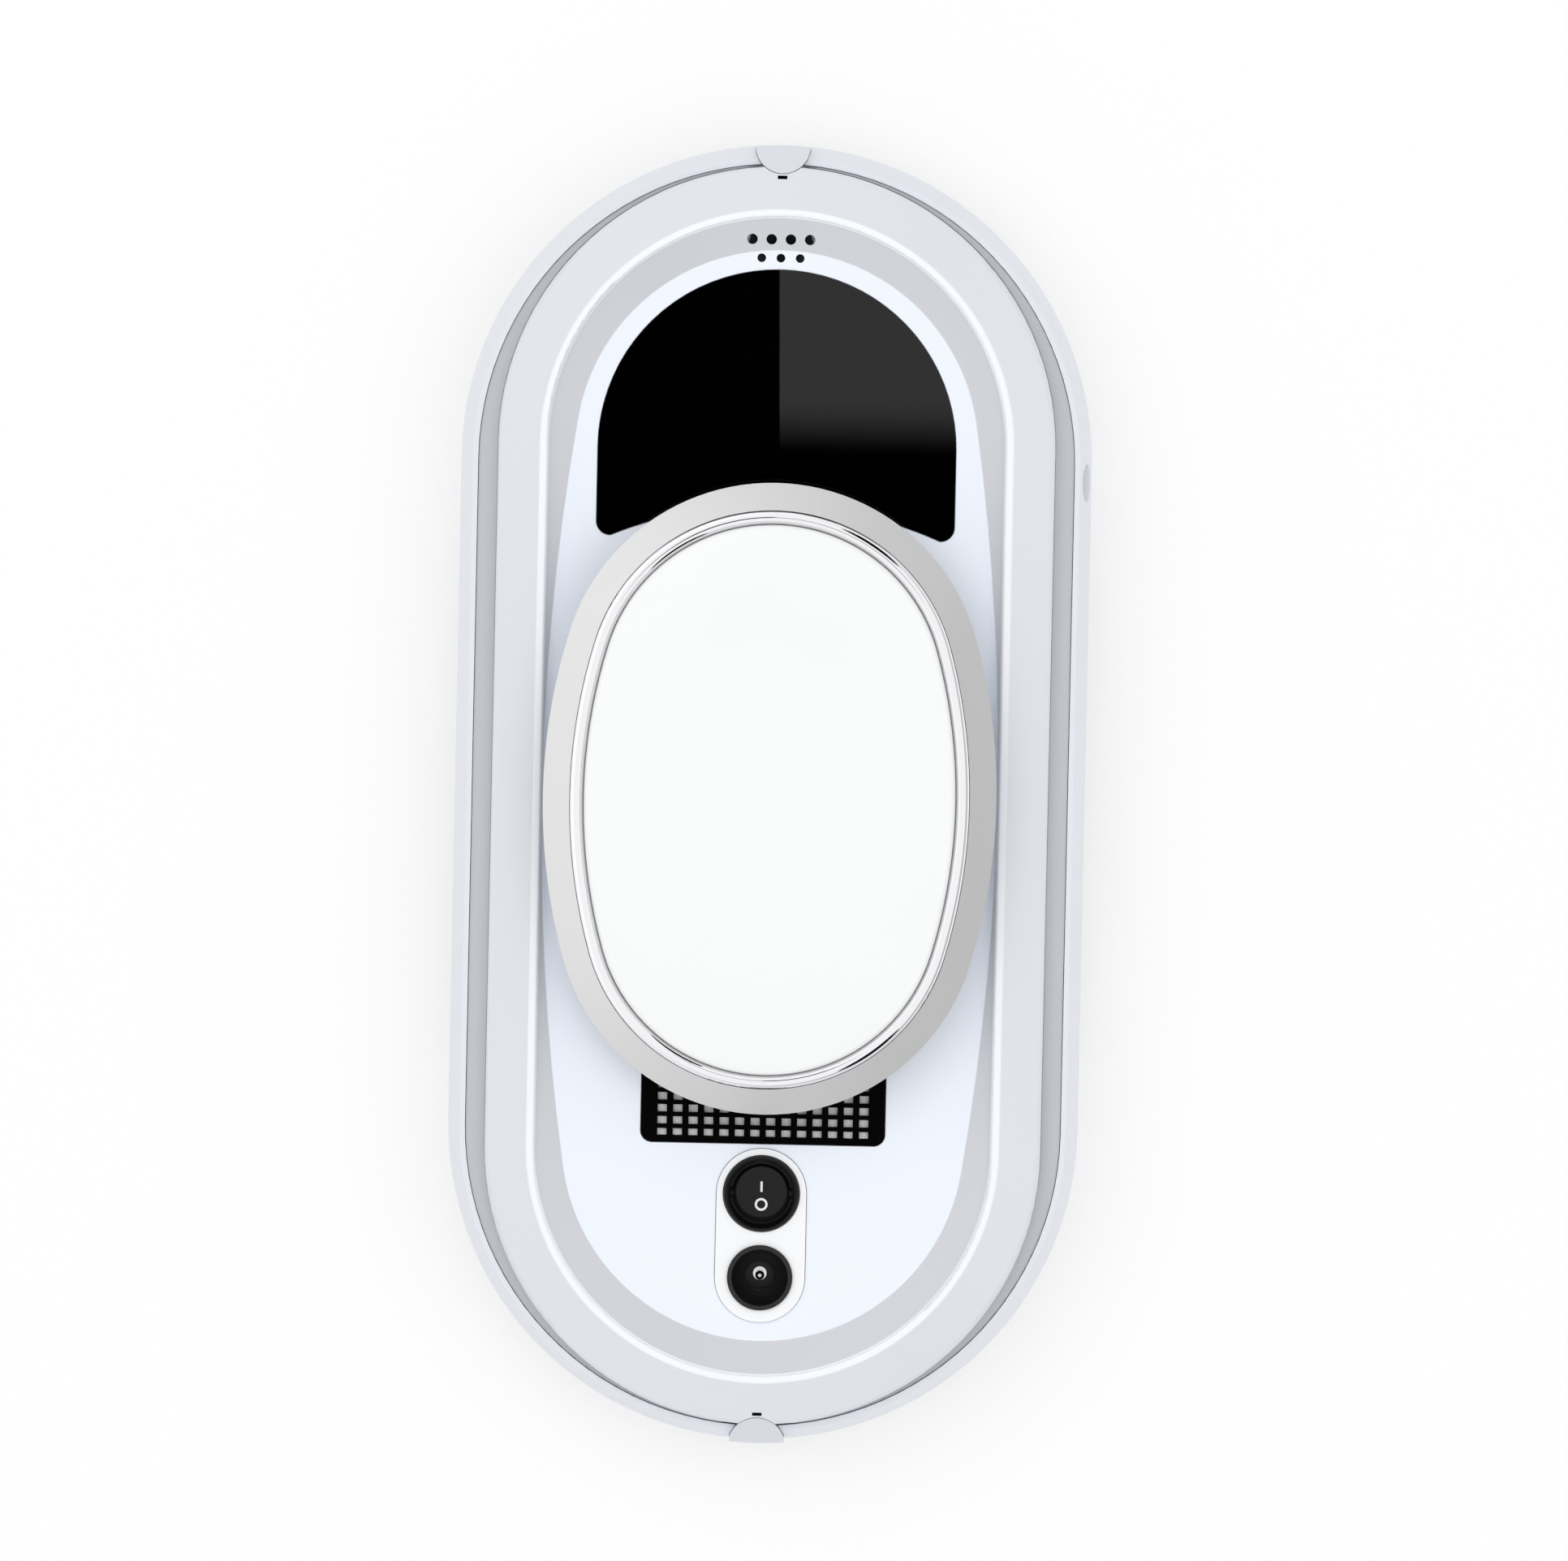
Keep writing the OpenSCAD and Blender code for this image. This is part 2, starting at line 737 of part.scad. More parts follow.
// Screws into the cover: four beside the hub and two at each end
module cover_screw_places() {
    for (x = [-1, 1], y = [-1, 1]) {
        translate([x * screw_orbit, y * screw_y, 0]) children();
        translate([x * screw_orbit * cos(screw_turn), y * (cover_c + screw_orbit * sin(screw_turn)), 0])
            children();
    }
}

// Screws into the neck, at its sides and ends
module hub_screw_places() {
    inset = neck_in + neck_flange_w / 2;
    for (side = [-1, 1]) {
        translate([side * (collar_hw - inset), 0, 0]) children();
        translate([0, side * (collar_hl - inset), 0]) children();
    }
}

module guard_screw_places() {
    for (k = [0:guard_screw_n - 1]) rotate(360 * k / guard_screw_n)
        translate([(port_r + bearing_in_r) / 2, 0, 0]) children();
}

// Round posts under a gear cover: two beside the gear and one beside the motor
module gear_posts(z, h) {
    for (turn = gear_post_turns)
        translate([gear_x + gear_post_orbit * cos(turn), gear_y + gear_post_orbit * sin(turn), z])
            cylinder(r = gear_post_r, h = h, $fn = small_fn);
    translate([motor_x + motor_post_orbit * cos(motor_turn), motor_y + motor_post_orbit * sin(motor_turn), z])
        cylinder(r = gear_post_r, h = h, $fn = small_fn);
}

module board_posts() {
    for (x = [board_inset, board_w - board_inset], y = [board_inset, board_l - board_inset])
        translate([board_x + x, board_y + y, floor_top]) children();
}

// Room for a nozzle cover, widened by gap
module nozzle_space(gap, z) {
    intersection() {
        translate([0, body_l / 2, z]) cylinder(r = nozzle_r + gap, h = ridge_z);
        translate([-body_w, 0, z]) cube([2 * body_w, body_l / 2 + cut, ridge_z]);
    }
}

// Stepped hole through skirt and tray for the filler neck and the head of its plug
module filler_recess() {
    translate([tray_in_r - cut, filler_y, filler_z]) rotate([0, 90, 0])
        cylinder(r = filler_bore_r + filler_neck_wall + set_gap, h = body_r - tray_in_r + 2 * cut);
    translate([plug_seat_x, filler_y, filler_z]) rotate([0, 90, 0])
        cylinder(r = plug_head_r + set_gap, h = body_r - plug_seat_x + cut);
}

// Outer skirt: upright wall, sloping upper band and a flat rim that laps over the tray
module side_skirt() color(white_shell) difference() {
    stadium_body(body_c) difference() {
        polygon([
            [opening_r, skirt_top], [body_r - skirt_slope_w, skirt_top],
            [body_r, slope_foot_z], [body_r, skirt_low],
            [body_r - skirt_wall, skirt_low], [body_r - skirt_wall, wall_top], [opening_r, wall_top]
        ]);
        translate([body_r - skirt_rim_w / 2, skirt_low + skirt_rim_w / 2]) difference() {
            translate([0, -cut]) square([cut, cut]);
            circle(skirt_rim_w / 2, $fn = small_fn);
        }
    }
    front_and_rear() nozzle_space(set_gap, nozzle_z - set_gap);
    filler_recess();
}

// Tray that carries the works, with a spigot for each disc's bearing
module base_tray() color(white_shell) difference() {
    union() {
        stadium_block(tray_r, body_c, floor_z, floor_t);
        difference() {
            stadium_block(tray_r, body_c, floor_top, tray_wall_h);
            stadium_block(tray_in_r, body_c, floor_top - cut, tray_wall_h + 2 * cut);
        }
        front_and_rear() {
            at_front() translate([0, 0, bearing_z])
                cylinder(r = bearing_in_r - fit, h = floor_z - bearing_z + floor_t / 2);
            at_front() translate([0, 0, bearing_top])
                cylinder(r = bearing_in_r + spigot_step, h = floor_z - bearing_top + floor_t / 2);
            translate([gear_x, gear_y, floor_z])
                cylinder(r = shaft_r + run_fit + bush_wall, h = floor_t + bush_h);
            gear_posts(floor_z, gear_cover_z - floor_z);
        }
        board_posts() translate([0, 0, -floor_t])
            cylinder(r = board_post_r, h = floor_t + board_lift, $fn = small_fn);
        for (y = [battery_y - cradle_t - set_gap, battery_y + cell_l + set_gap])
            translate([battery_x - cell_r, y, floor_z]) cube([2 * cell_r, cradle_t, floor_t + cradle_h]);
    }
    front_and_rear() {
        at_front() translate([0, 0, -cut]) cylinder(r = port_r, h = wall_top);
        translate([gear_x, gear_y, 0]) cylinder(r = shaft_r + run_fit, h = wall_top);
        at_front() guard_screw_places() translate([0, 0, bearing_z - cut])
            cylinder(r = guard_screw_r + fit, h = guard_screw_l + cut, $fn = small_fn);
        nozzle_space(set_gap, nozzle_z - set_gap);
    }
    for (x = [-sensor_x, sensor_x]) translate([x, 0, 0]) cylinder(r = sensor_r + set_gap, h = wall_top);
    cover_screw_places() {
        cylinder(r = screw_r + set_gap, h = wall_top, $fn = small_fn);
        cylinder(r = screw_head_r + set_gap, h = floor_z + screw_head_h, $fn = small_fn);
    }
    filler_recess();
}

// Outer form of the cover before its recess is sunk, or its inner form, taken in by inset
module cover_form(inset) {
    r = cover_r - inset;
    low = inset > 0 ? wall_top - cut : wall_top;
    stadium_body(cover_c) difference() {
        polygon([
            [0, low], [r, low], [r, edge_z - inset],
            [cover_r - shoulder_w, ridge_z - inset], [0, ridge_z - inset]
        ]);
        if (inset == 0) round_corner(r, edge_z, shoulder_slope, edge_round);
    }
}

// The space above the panel: upright inside the ridge, with a sloping band at its foot
module recess(wall) {
    z = panel_z - wall;
    foot = wall * tan(recess_slope / 2);
    rise = recess_depth + wall + cut;
    intersection() {
        stadium_block(ridge_r + wall, cover_c, z, rise);
        union() {
            oval_ring(panel_hw, panel_hl, panel_end_r) polygon([
                [-2 * panel_core, z], [foot, z],
                [foot + rise / tan(recess_slope), z + rise], [-2 * panel_core, z + rise]
            ]);
            oval_block(panel_hw, panel_hl, panel_end_r, -panel_core, z, rise);
        }
    }
}

// Rounds the inner edge of the ridge
module crest_rounding() {
    stadium_body(cover_c) difference() {
        translate([ridge_r - cut, ridge_z - crest_round]) square([cut + crest_round, crest_round + cut]);
        translate([ridge_r + crest_round, ridge_z - crest_round]) circle(crest_round, $fn = small_fn);
    }
}

module top_cover() color(white_panel) difference() {
    union() {
        difference() {
            cover_form(0);
            difference() {
                cover_form(cover_wall);
                recess(cover_wall);
            }
        }
        difference() {
            stadium_block(flange_r, body_c, wall_top, flange_t);
            stadium_block(cover_r - cover_wall, cover_c, wall_top - cut, flange_t + 2 * cut);
        }
        cover_screw_places() translate([0, 0, floor_top])
            cylinder(r = boss_r, h = edge_z - cover_wall / 2 - floor_top, $fn = small_fn);
        translate([0, speaker_y, speaker_top - speaker_h])
            ring(speaker_r + fit, speaker_r + speaker_wall, speaker_h + cover_wall / 2);
    }
    recess(0);
    crest_rounding();
    hub_block(flange_in, panel_under - cut, cover_wall + 2 * cut);
    translate([0, 0, pane_z]) linear_extrude(recess_depth) window_outline(-set_gap);
    translate([0, 0, panel_under - cut]) linear_extrude(recess_depth) window_outline(window_ledge);
    translate([0, 0, pane_z]) linear_extrude(recess_depth) vent_outline(-set_gap);
    translate([0, 0, panel_under - cut]) linear_extrude(recess_depth) vent_outline(vent_ledge);
    translate([0, 0, plate_floor]) linear_extrude(recess_depth) plate_outline(set_gap);
    translate([0, -switch_y, 0]) cylinder(r = switch_body_r + set_gap, h = ridge_z);
    translate([0, -socket_y, 0]) cylinder(r = socket_barrel_r + set_gap, h = ridge_z);
    sound_holes();
    front_and_rear() {
        nozzle_space(set_gap, 0);
        translate([-slit_w / 2, body_l / 2 - nozzle_r - set_gap - slit_gap - slit_l, wall_top])
            cube([slit_w, slit_l, ridge_z]);
    }
    cover_screw_places() translate([0, 0, floor_top - cut])
        cylinder(r = screw_r + fit, h = screw_l + 2 * cut - floor_t, $fn = small_fn);
    hub_screw_places() cylinder(r = hub_screw_r + set_gap, h = panel_z + cut, $fn = small_fn);
}

// Crescent of grey trim that lies on the cover's flange; side is -1 or 1
module inlay(side) color(grey_trim) {
    tip_y = body_c + flange_r * cos(inlay_tip);
    translate([0, 0, flange_top]) linear_extrude(inlay_t) intersection() {
        difference() {
            stadium(flange_r, body_c);
            stadium(cover_r + set_gap, cover_c);
        }
        translate([(side - 1) * body_w / 2, -tip_y]) square([body_w, 2 * tip_y]);
    }
}

module left_inlay() inlay(-1);

module right_inlay() inlay(1);

// Outline of the black window: a half disc on a block with a hollow lower edge
module window_outline(inset) {
    r = window_r - inset;
    corner = max(window_corner_r - inset, window_corner_r / 4);
    low = window_start + inset;
    hollow_y = window_start - sqrt(pow(window_hollow_r, 2) - pow(window_r - window_corner_r, 2));
    difference() {
        union() {
            translate([0, window_c]) circle(r);
            translate([-r, low + corner]) square([2 * r, window_c - low - corner]);
            translate([-r + corner, low]) square([2 * (r - corner), window_c - low]);
            for (x = [-1, 1]) translate([x * (r - corner), low + corner]) circle(corner, $fn = small_fn);
        }
        translate([0, hollow_y]) circle(window_hollow_r + inset, $fn = long_fn);
    }
}

module window_panel() color(black_gloss) translate([0, 0, pane_z]) linear_extrude(pane_t) window_outline(0);

// Outline of the vent plate, hollowed to follow the neck
module vent_outline(inset) {
    hw = vent_w / 2 - inset;
    far = vent_end - inset;
    near = collar_hl - grip_depth - vent_w / 4;
    corner = max(vent_corner_r - inset, vent_corner_r / 4);
    difference() {
        union() {
            translate([-hw, -far + corner]) square([2 * hw, far - corner - near]);
            translate([-hw + corner, -far]) square([2 * (hw - corner), far - near]);
            for (x = [-1, 1]) translate([x * (hw - corner), -far + corner]) circle(corner, $fn = small_fn);
        }
        oval(collar_hw, collar_hl, collar_end_r, -grip_depth + vent_neck_gap + inset);
    }
}

module vent_grille() color(black_gloss) difference() {
    translate([0, 0, pane_z]) linear_extrude(pane_t) vent_outline(0);
    for (column = [0:vent_columns - 1], row = [0:vent_rows - 1])
        translate([
            (column - (vent_columns - 1) / 2) * vent_pitch_x - vent_hole_x / 2,
            vent_margin - vent_end + row * vent_pitch_y - vent_hole_y / 2, pane_z - cut
        ]) cube([vent_hole_x, vent_hole_y, pane_t + 2 * cut]);
}

// Pale felt against the underside of the grille
module vent_filter() color(natural_plastic)
    translate([0, 0, pane_z - filter_t - fit]) linear_extrude(filter_t) vent_outline(filter_margin);

module sound_row(count, r, y) {
    for (k = [0:count - 1]) translate([(k - (count - 1) / 2) * sound_pitch, y, panel_under - cut])
        cylinder(r = r, h = recess_depth + cover_wall + 2 * cut, $fn = small_fn);
}

module sound_holes() {
    sound_row(sound_holes_upper, sound_hole_r, sound_y);
    sound_row(sound_holes_lower, sound_hole_r - lower_hole_shrink, sound_y - sound_step);
}

// Neck that carries the collar clear of the panel, with a flange inside its foot
module hub_neck() color(white_panel) difference() {
    hub_block(grip_depth, panel_z, grip_h);
    hub_block(neck_in, panel_z + neck_flange_t, grip_h);
    hub_block(flange_in, panel_z - cut, grip_h);
    hub_screw_places() cylinder(r = hub_screw_r + fit, h = ridge_z, $fn = small_fn);
}

module hub_collar() color(silver) hub_ring() polygon([
    [0, collar_z], [0, bevel_z], [-bevel_w, collar_top],
    [-bevel_w, seat_z], [-seat_in, seat_z], [-seat_in, collar_z]
]);

// Chrome bead: a flat foot with a half-round top
module chrome_ring() color(chrome) hub_ring() translate([-bevel_w - set_gap / 2, seat_z]) {
    w = chrome_w - set_gap;
    translate([-w, 0]) square([w, chrome_foot_h]);
    intersection() {
        translate([-w, 0]) square([w, chrome_foot_h + w]);
        translate([-w / 2, chrome_foot_h]) circle(w / 2, $fn = small_fn);
    }
}

// Crowned cap: a rolled edge, a long crown and a flat middle, on a spigot in the collar
module hub_cap() color(pearl) {
    roll_z = cap_top - cap_crown_r + sqrt(pow(cap_crown_r - cap_round, 2) - pow(cap_run - cap_round, 2));
    roll = [cap_run - cap_round, roll_z - cap_top + cap_crown_r];
    difference() {
        union() {
            hub_ring() translate([-cap_in, 0]) difference() {
                intersection() {
                    translate([-cap_run, cap_top - cap_crown_r]) circle(cap_crown_r, $fn = long_fn);
                    translate([-cap_run, seat_z]) square([cap_run, cap_top - seat_z]);
                }
                difference() {
                    polygon([
                        [-cap_round, roll_z], [cut, roll_z], [cut, cap_top],
                        [-cap_round, roll_z] + 3 * cap_round * roll / norm(roll)
                    ]);
                    translate([-cap_round, roll_z]) circle(cap_round, $fn = small_fn);
                }
            }
            hub_block(cap_in + cap_run, seat_z, cap_top - seat_z);
        }
        hub_block(cap_in + cap_wall, seat_z - cut, cap_ceiling_z - seat_z + cut);
    }
    difference() {
        hub_block(seat_in + set_gap, cap_spigot_z, cap_ceiling_z - cap_spigot_z);
        hub_block(seat_in + set_gap + cap_spigot_t, cap_spigot_z - cut, cap_top - cap_spigot_z + 2 * cut);
    }
}

// Raised plate round switch and socket
module plate_outline(gap) {
    for (y = [switch_y, socket_y]) translate([0, -y]) circle(switch_plate_r + gap);
    translate([-switch_plate_r - gap, -socket_y]) square([2 * (switch_plate_r + gap), socket_step]);
}

module switch_plate() color(pearl) difference() {
    translate([0, 0, plate_floor]) linear_extrude(plate_z - plate_floor) plate_outline(0);
    translate([0, -switch_y, 0]) cylinder(r = switch_body_r + set_gap, h = ridge_z);
    translate([0, -socket_y, 0]) cylinder(r = socket_barrel_r + set_gap, h = ridge_z);
}

// Body of the rocker switch: bezel, well with a bevelled mouth, and holes for the pins
module switch_body() color(black_gloss) translate([0, -switch_y, 0]) difference() {
    union() {
        translate([0, 0, plate_z]) cylinder(r1 = switch_r, r2 = switch_r - bezel_rise / 2, h = bezel_rise);
        translate([0, 0, plate_z - switch_depth])
            cylinder(r = switch_body_r, h = switch_depth + bezel_rise / 2);
    }
    translate([0, 0, rocker_axis_z - rocker_below]) cylinder(r = well_r, h = switch_depth);
    translate([0, 0, plate_z + bezel_rise - well_bevel])
        cylinder(r1 = well_r, r2 = well_r + 2 * well_bevel, h = 2 * well_bevel);
    translate([-rocker_pin_end, 0, rocker_axis_z]) rotate([0, 90, 0])
        cylinder(r = rocker_pin_r + run_fit, h = 2 * rocker_pin_end, $fn = small_fn);
}

// Rocker with a dished face, tipped so that its +Y side is down
module rocker() color(black_matt) translate([0, -switch_y, rocker_axis_z]) rotate([-rocker_tilt, 0, 0]) {
    dish_r = (pow(rocker_face_r, 2) + pow(rocker_dish, 2)) / (2 * rocker_dish);
    difference() {
        cylinder(r1 = rocker_r, r2 = rocker_face_r, h = rocker_h);
        translate([0, 0, rocker_h - rocker_dish + dish_r]) sphere(r = dish_r);
    }
    rotate([0, 90, 0])
        cylinder(r = rocker_pin_r, h = 2 * (rocker_pin_end - set_gap), center = true, $fn = small_fn);
}

// Power socket: a flange, a wide funnel and a bore round the centre pin
module power_socket() color(black_gloss) translate([0, -socket_y, 0]) difference() {
    union() {
        translate([0, 0, plate_z]) cylinder(r = socket_r, h = bezel_rise);
        translate([0, 0, socket_face_z - socket_depth]) cylinder(r = socket_barrel_r, h = socket_depth);
    }
    translate([0, 0, socket_face_z - socket_funnel])
        cylinder(r1 = socket_bore_r, r2 = socket_funnel_r, h = socket_funnel);
    translate([0, 0, socket_face_z]) cylinder(r = socket_funnel_r, h = cut);
    translate([0, 0, socket_face_z - socket_funnel - socket_bore_l])
        cylinder(r = socket_bore_r, h = socket_bore_l + cut);
    translate([0, 0, socket_face_z - socket_depth - cut])
        cylinder(r = socket_pin_r + pin_foot_step + fit, h = socket_depth);
}

// Centre pin with a shoulder in the socket's back wall
module socket_pin() color(steel) translate([0, -socket_y, 0]) {
    foot_z = socket_face_z - socket_depth;
    bore_z = socket_face_z - socket_funnel - socket_bore_l;
    translate([0, 0, foot_z]) cylinder(r = socket_pin_r + pin_foot_step, h = bore_z - foot_z);
    translate([0, 0, bore_z]) cylinder(r = socket_pin_r, h = pin_tip_z - socket_pin_r - bore_z);
    translate([0, 0, pin_tip_z - socket_pin_r]) sphere(r = socket_pin_r);
}

// Half-round cover at one end: its top slopes from the cover's shoulder to the rim
module nozzle_cover() difference() {
    intersection() {
        nozzle_space(0, nozzle_z);
        stadium_body(body_c) polygon([
            [0, nozzle_z], [body_r, nozzle_z], [body_r, nozzle_lip_z],
            [body_r - nozzle_r, edge_z + nozzle_crown], [0, edge_z + nozzle_crown]
        ]);
    }
    translate([0, body_l / 2 + cut, hose_z]) rotate([90, 0, 0])
        cylinder(r = nozzle_tip_r + fit, h = nozzle_r + 2 * cut, $fn = small_fn);
}

module front_nozzle_cover() color(white_shell) nozzle_cover();

module rear_nozzle_cover() color(white_shell) rotate(180) nozzle_cover();

module nozzle_tips() color(black_matt) front_and_rear()
    translate([0, body_l / 2 - nozzle_step, hose_z]) rotate([90, 0, 0]) difference() {
        union() {
            cylinder(r = nozzle_tip_r, h = nozzle_r - nozzle_step, $fn = small_fn);
            cylinder(r = hose_bore_r - fit, h = nozzle_r - nozzle_step + barb_l, $fn = small_fn);
        }
        translate([0, 0, -cut]) cylinder(r = nozzle_hole_r, h = nozzle_r + barb_l + cut, $fn = small_fn);
    }

// Disc that carries a pad: plate, rim, seat for the bearing and ribs underneath
module pad_disc() color(grey_plastic) {
    difference() {
        union() {
            translate([0, 0, pad_h]) cylinder(r = disc_r, h = disc_t);
            translate([0, 0, pad_h]) cylinder(r = disc_hub_r, h = bearing_top - pad_h);
            translate([0, 0, pad_h]) ring(disc_r - disc_rim_w, disc_r, disc_t + disc_rim_h);
        }
        translate([0, 0, -cut]) cylinder(r = bearing_out_r - seat_lip_w, h = floor_z);
        translate([0, 0, bearing_z]) cylinder(r = bearing_out_r + fit, h = floor_z);
    }
    for (k = [0:rib_n - 1]) rotate(360 * k / rib_n)
        translate([bearing_out_r, -rib_t / 2, pad_h - rib_h])
            cube([pad_in_r - bearing_out_r - run_gap, rib_t, rib_h + disc_t / 2]);
}

module front_disc() at_front() pad_disc();

module rear_disc() at_rear() pad_disc();

// Cleaning pad: a soft ring under the disc, rounded at its outer foot
module pad() color(pad_white) rotate_extrude() difference() {
    translate([pad_in_r, 0]) square([pad_r - pad_in_r, pad_h]);
    translate([pad_r - pad_round, pad_round]) difference() {
        translate([0, -pad_round - cut]) square([pad_round + cut, pad_round + cut]);
        circle(pad_round, $fn = small_fn);
    }
}

module front_pad() at_front() pad();

module rear_pad() at_rear() pad();

// Drive gear on the disc's hub; a tooth points at the pinion
module drive_gear() color(natural_plastic) translate([0, 0, disc_top]) difference() {
    linear_extrude(drive_gear_h) polygon(gear_outline(drive_module, drive_teeth));
    translate([0, 0, -cut]) cylinder(r = disc_hub_r + fit, h = drive_gear_h + 2 * cut);
}

module front_drive_gear() at_front() drive_gear();

module rear_drive_gear() at_rear() drive_gear();

// Race with a round groove for the balls
module race(inner, outer) translate([0, 0, bearing_z]) difference() {
    ring(inner, outer, bearing_w);
    rotate_extrude() translate([ball_orbit, bearing_w / 2]) circle(ball_r + ball_gap, $fn = small_fn);
}

// Outer race, seated in the disc, with its balls
module bearing() color(steel) {
    race(bearing_out_r - race_t, bearing_out_r);
    for (k = [0:ball_n - 1]) rotate(360 * k / ball_n)
        translate([ball_orbit, 0, bearing_z + bearing_w / 2]) sphere(r = ball_r, $fn = small_fn);
}

module front_bearing() at_front() bearing();

module rear_bearing() at_rear() bearing();

module bearing_inner_rings() color(steel) front_and_rear() at_front()
    race(bearing_in_r, bearing_in_r + race_t);

// Grilles over the suction ports, which also hold the bearings up
module suction_guards() color(dark_plastic) front_and_rear() at_front() difference() {
    translate([0, 0, pad_h]) cylinder(r = guard_r, h = seat_lip_h);
    intersection() {
        cylinder(r = port_r, h = floor_z);
        for (k = [0:guard_slot_n - 1])
            translate([(k - (guard_slot_n - 1) / 2) * guard_slot_pitch - guard_slot_w / 2, -port_r, 0])
                cube([guard_slot_w, 2 * port_r, floor_z]);
    }
    guard_screw_places() {
        cylinder(r = guard_screw_r + fit, h = floor_z, $fn = small_fn);
        cylinder(r = guard_head_r + fit, h = pad_h + guard_head_h, $fn = small_fn);
    }
}

// Compound gear: pinion on the disc's gear, shaft through the floor, large gear above
module reduction_gear() color(natural_plastic) translate([gear_x, gear_y, 0]) {
    translate([0, 0, pinion_z]) rotate(180 + 180 / pinion_teeth)
        linear_extrude(floor_z - run_gap / 2 - pinion_z) polygon(gear_outline(drive_module, pinion_teeth));
    translate([0, 0, pinion_z]) cylinder(r = shaft_r, h = gear_cover_z + gear_cover_t / 2 - pinion_z);
    translate([0, 0, reduction_z]) rotate(motor_turn)
        linear_extrude(reduction_gear_h) polygon(gear_outline(reduction_module, reduction_teeth));
}

module front_reduction_gear() reduction_gear();

module rear_reduction_gear() rotate(180) reduction_gear();

module motor_pinion() color(brass) translate([motor_x, motor_y, reduction_z]) {
    rotate(motor_turn + 180 + 180 / pinion_teeth)
        linear_extrude(reduction_gear_h) polygon(gear_outline(reduction_module, pinion_teeth));
    cylinder(r = motor_shaft_r, h = gear_cover_top + motor_boss_h - reduction_z);
}

module front_motor_pinion() motor_pinion();

module rear_motor_pinion() rotate(180) motor_pinion();

// Plates over the reduction gears, which carry the motors
module gear_covers() color(dark_plastic) front_and_rear() difference() {
    union() {
        translate([gear_x, gear_y, gear_cover_z]) cylinder(r = gear_plate_r, h = gear_cover_t);
        translate([motor_x, motor_y, gear_cover_z]) cylinder(r = motor_r, h = gear_cover_t);
        gear_posts(gear_cover_z, gear_cover_t);
    }
    translate([gear_x, gear_y, 0]) cylinder(r = shaft_r + run_fit, h = wall_top);
    translate([motor_x, motor_y, 0]) cylinder(r = motor_boss_r + set_gap, h = wall_top);
    stadium_block(duct_w / 2 + set_gap, pad_c, floor_top, wall_top - floor_top);
}

// Can of a motor on its foot: straight wall and a bevelled top, with a shaft hole
module motor_can(r, h, bevel, hole_r, hole_h) difference() {
    union() {
        cylinder(r = r, h = h - bevel);
        translate([0, 0, h - bevel]) cylinder(r1 = r, r2 = r - bevel, h = bevel);
    }
    translate([0, 0, -cut]) cylinder(r = hole_r, h = hole_h + cut);
}

module drive_motor() color(steel) translate([motor_x, motor_y, gear_cover_top]) {
    motor_can(motor_r, motor_h, motor_round, motor_shaft_r + run_fit, 2 * motor_boss_h);
    translate([0, 0, -motor_boss_h]) ring(motor_shaft_r + run_fit, motor_boss_r, motor_boss_h);
}

module front_drive_motor() drive_motor();

module rear_drive_motor() rotate(180) drive_motor();

// Channel that joins both suction ports to the fan
module suction_duct() color(dark_plastic) difference() {
    stadium_block(duct_w / 2, pad_c, floor_top, duct_h);
    stadium_block(duct_w / 2 - duct_wall, pad_c, floor_top - cut, duct_h - duct_wall + cut);
    cylinder(r = inlet_r, h = wall_top);
}

module fan_base() color(dark_plastic) translate([0, 0, fan_z]) ring(inlet_r, fan_r, fan_base_t);

// Can over the impeller, open towards the vent
module fan_housing() color(dark_plastic) difference() {
    translate([0, 0, fan_z + fan_base_t]) cylinder(r = fan_r, h = fan_h);
    translate([0, 0, fan_z + fan_base_t - cut]) cylinder(r = fan_r - fan_wall, h = fan_h - fan_wall + cut);
    cylinder(r = fan_shaft_hole_r, h = fan_top + cut);
    translate([-fan_outlet_w / 2, -fan_r - cut, fan_z + fan_base_t + fan_outlet_sill])
        cube([fan_outlet_w, fan_r, fan_h - fan_wall - 2 * fan_outlet_sill]);
}

// Impeller: ring round the eye, curved blades, back plate, hub and shaft
module impeller() color(natural_plastic) translate([0, 0, impeller_z]) {
    ring(impeller_eye_r, impeller_r, impeller_plate_t);
    translate([0, 0, impeller_h - impeller_plate_t]) cylinder(r = impeller_r, h = impeller_plate_t);
    cylinder(r = impeller_hub_r, h = impeller_h);
    intersection() {
        ring(impeller_hub_r - blade_t, impeller_r, impeller_h);
        for (k = [0:impeller_blades - 1]) rotate(360 * k / impeller_blades)
            translate([impeller_r - blade_arc_r / 2, -blade_arc_r, 0])
                ring(blade_arc_r - blade_t, blade_arc_r, impeller_h);
    }
    cylinder(r = fan_shaft_r, h = fan_top + fan_shaft_end - impeller_z);
}

module fan_motor() color(steel) translate([0, 0, fan_top])
    motor_can(fan_motor_r, fan_motor_h, fan_motor_round, fan_shaft_r + run_fit, 2 * fan_shaft_end);

// Plan of the water tank: rounded corners, taken in by inset
module tank_outline(inset) {
    low = tank_start + tank_corner_r;
    high = tank_end - tank_corner_r;
    side = tank_w / 2 - tank_corner_r;
    r = tank_corner_r - inset;
    for (x = [-side, side], y = [low, high]) translate([x, y]) circle(r, $fn = small_fn);
    translate([-side - r, low]) square([2 * (side + r), high - low]);
    translate([-side, low - r]) square([2 * side, high - low + 2 * r]);
}

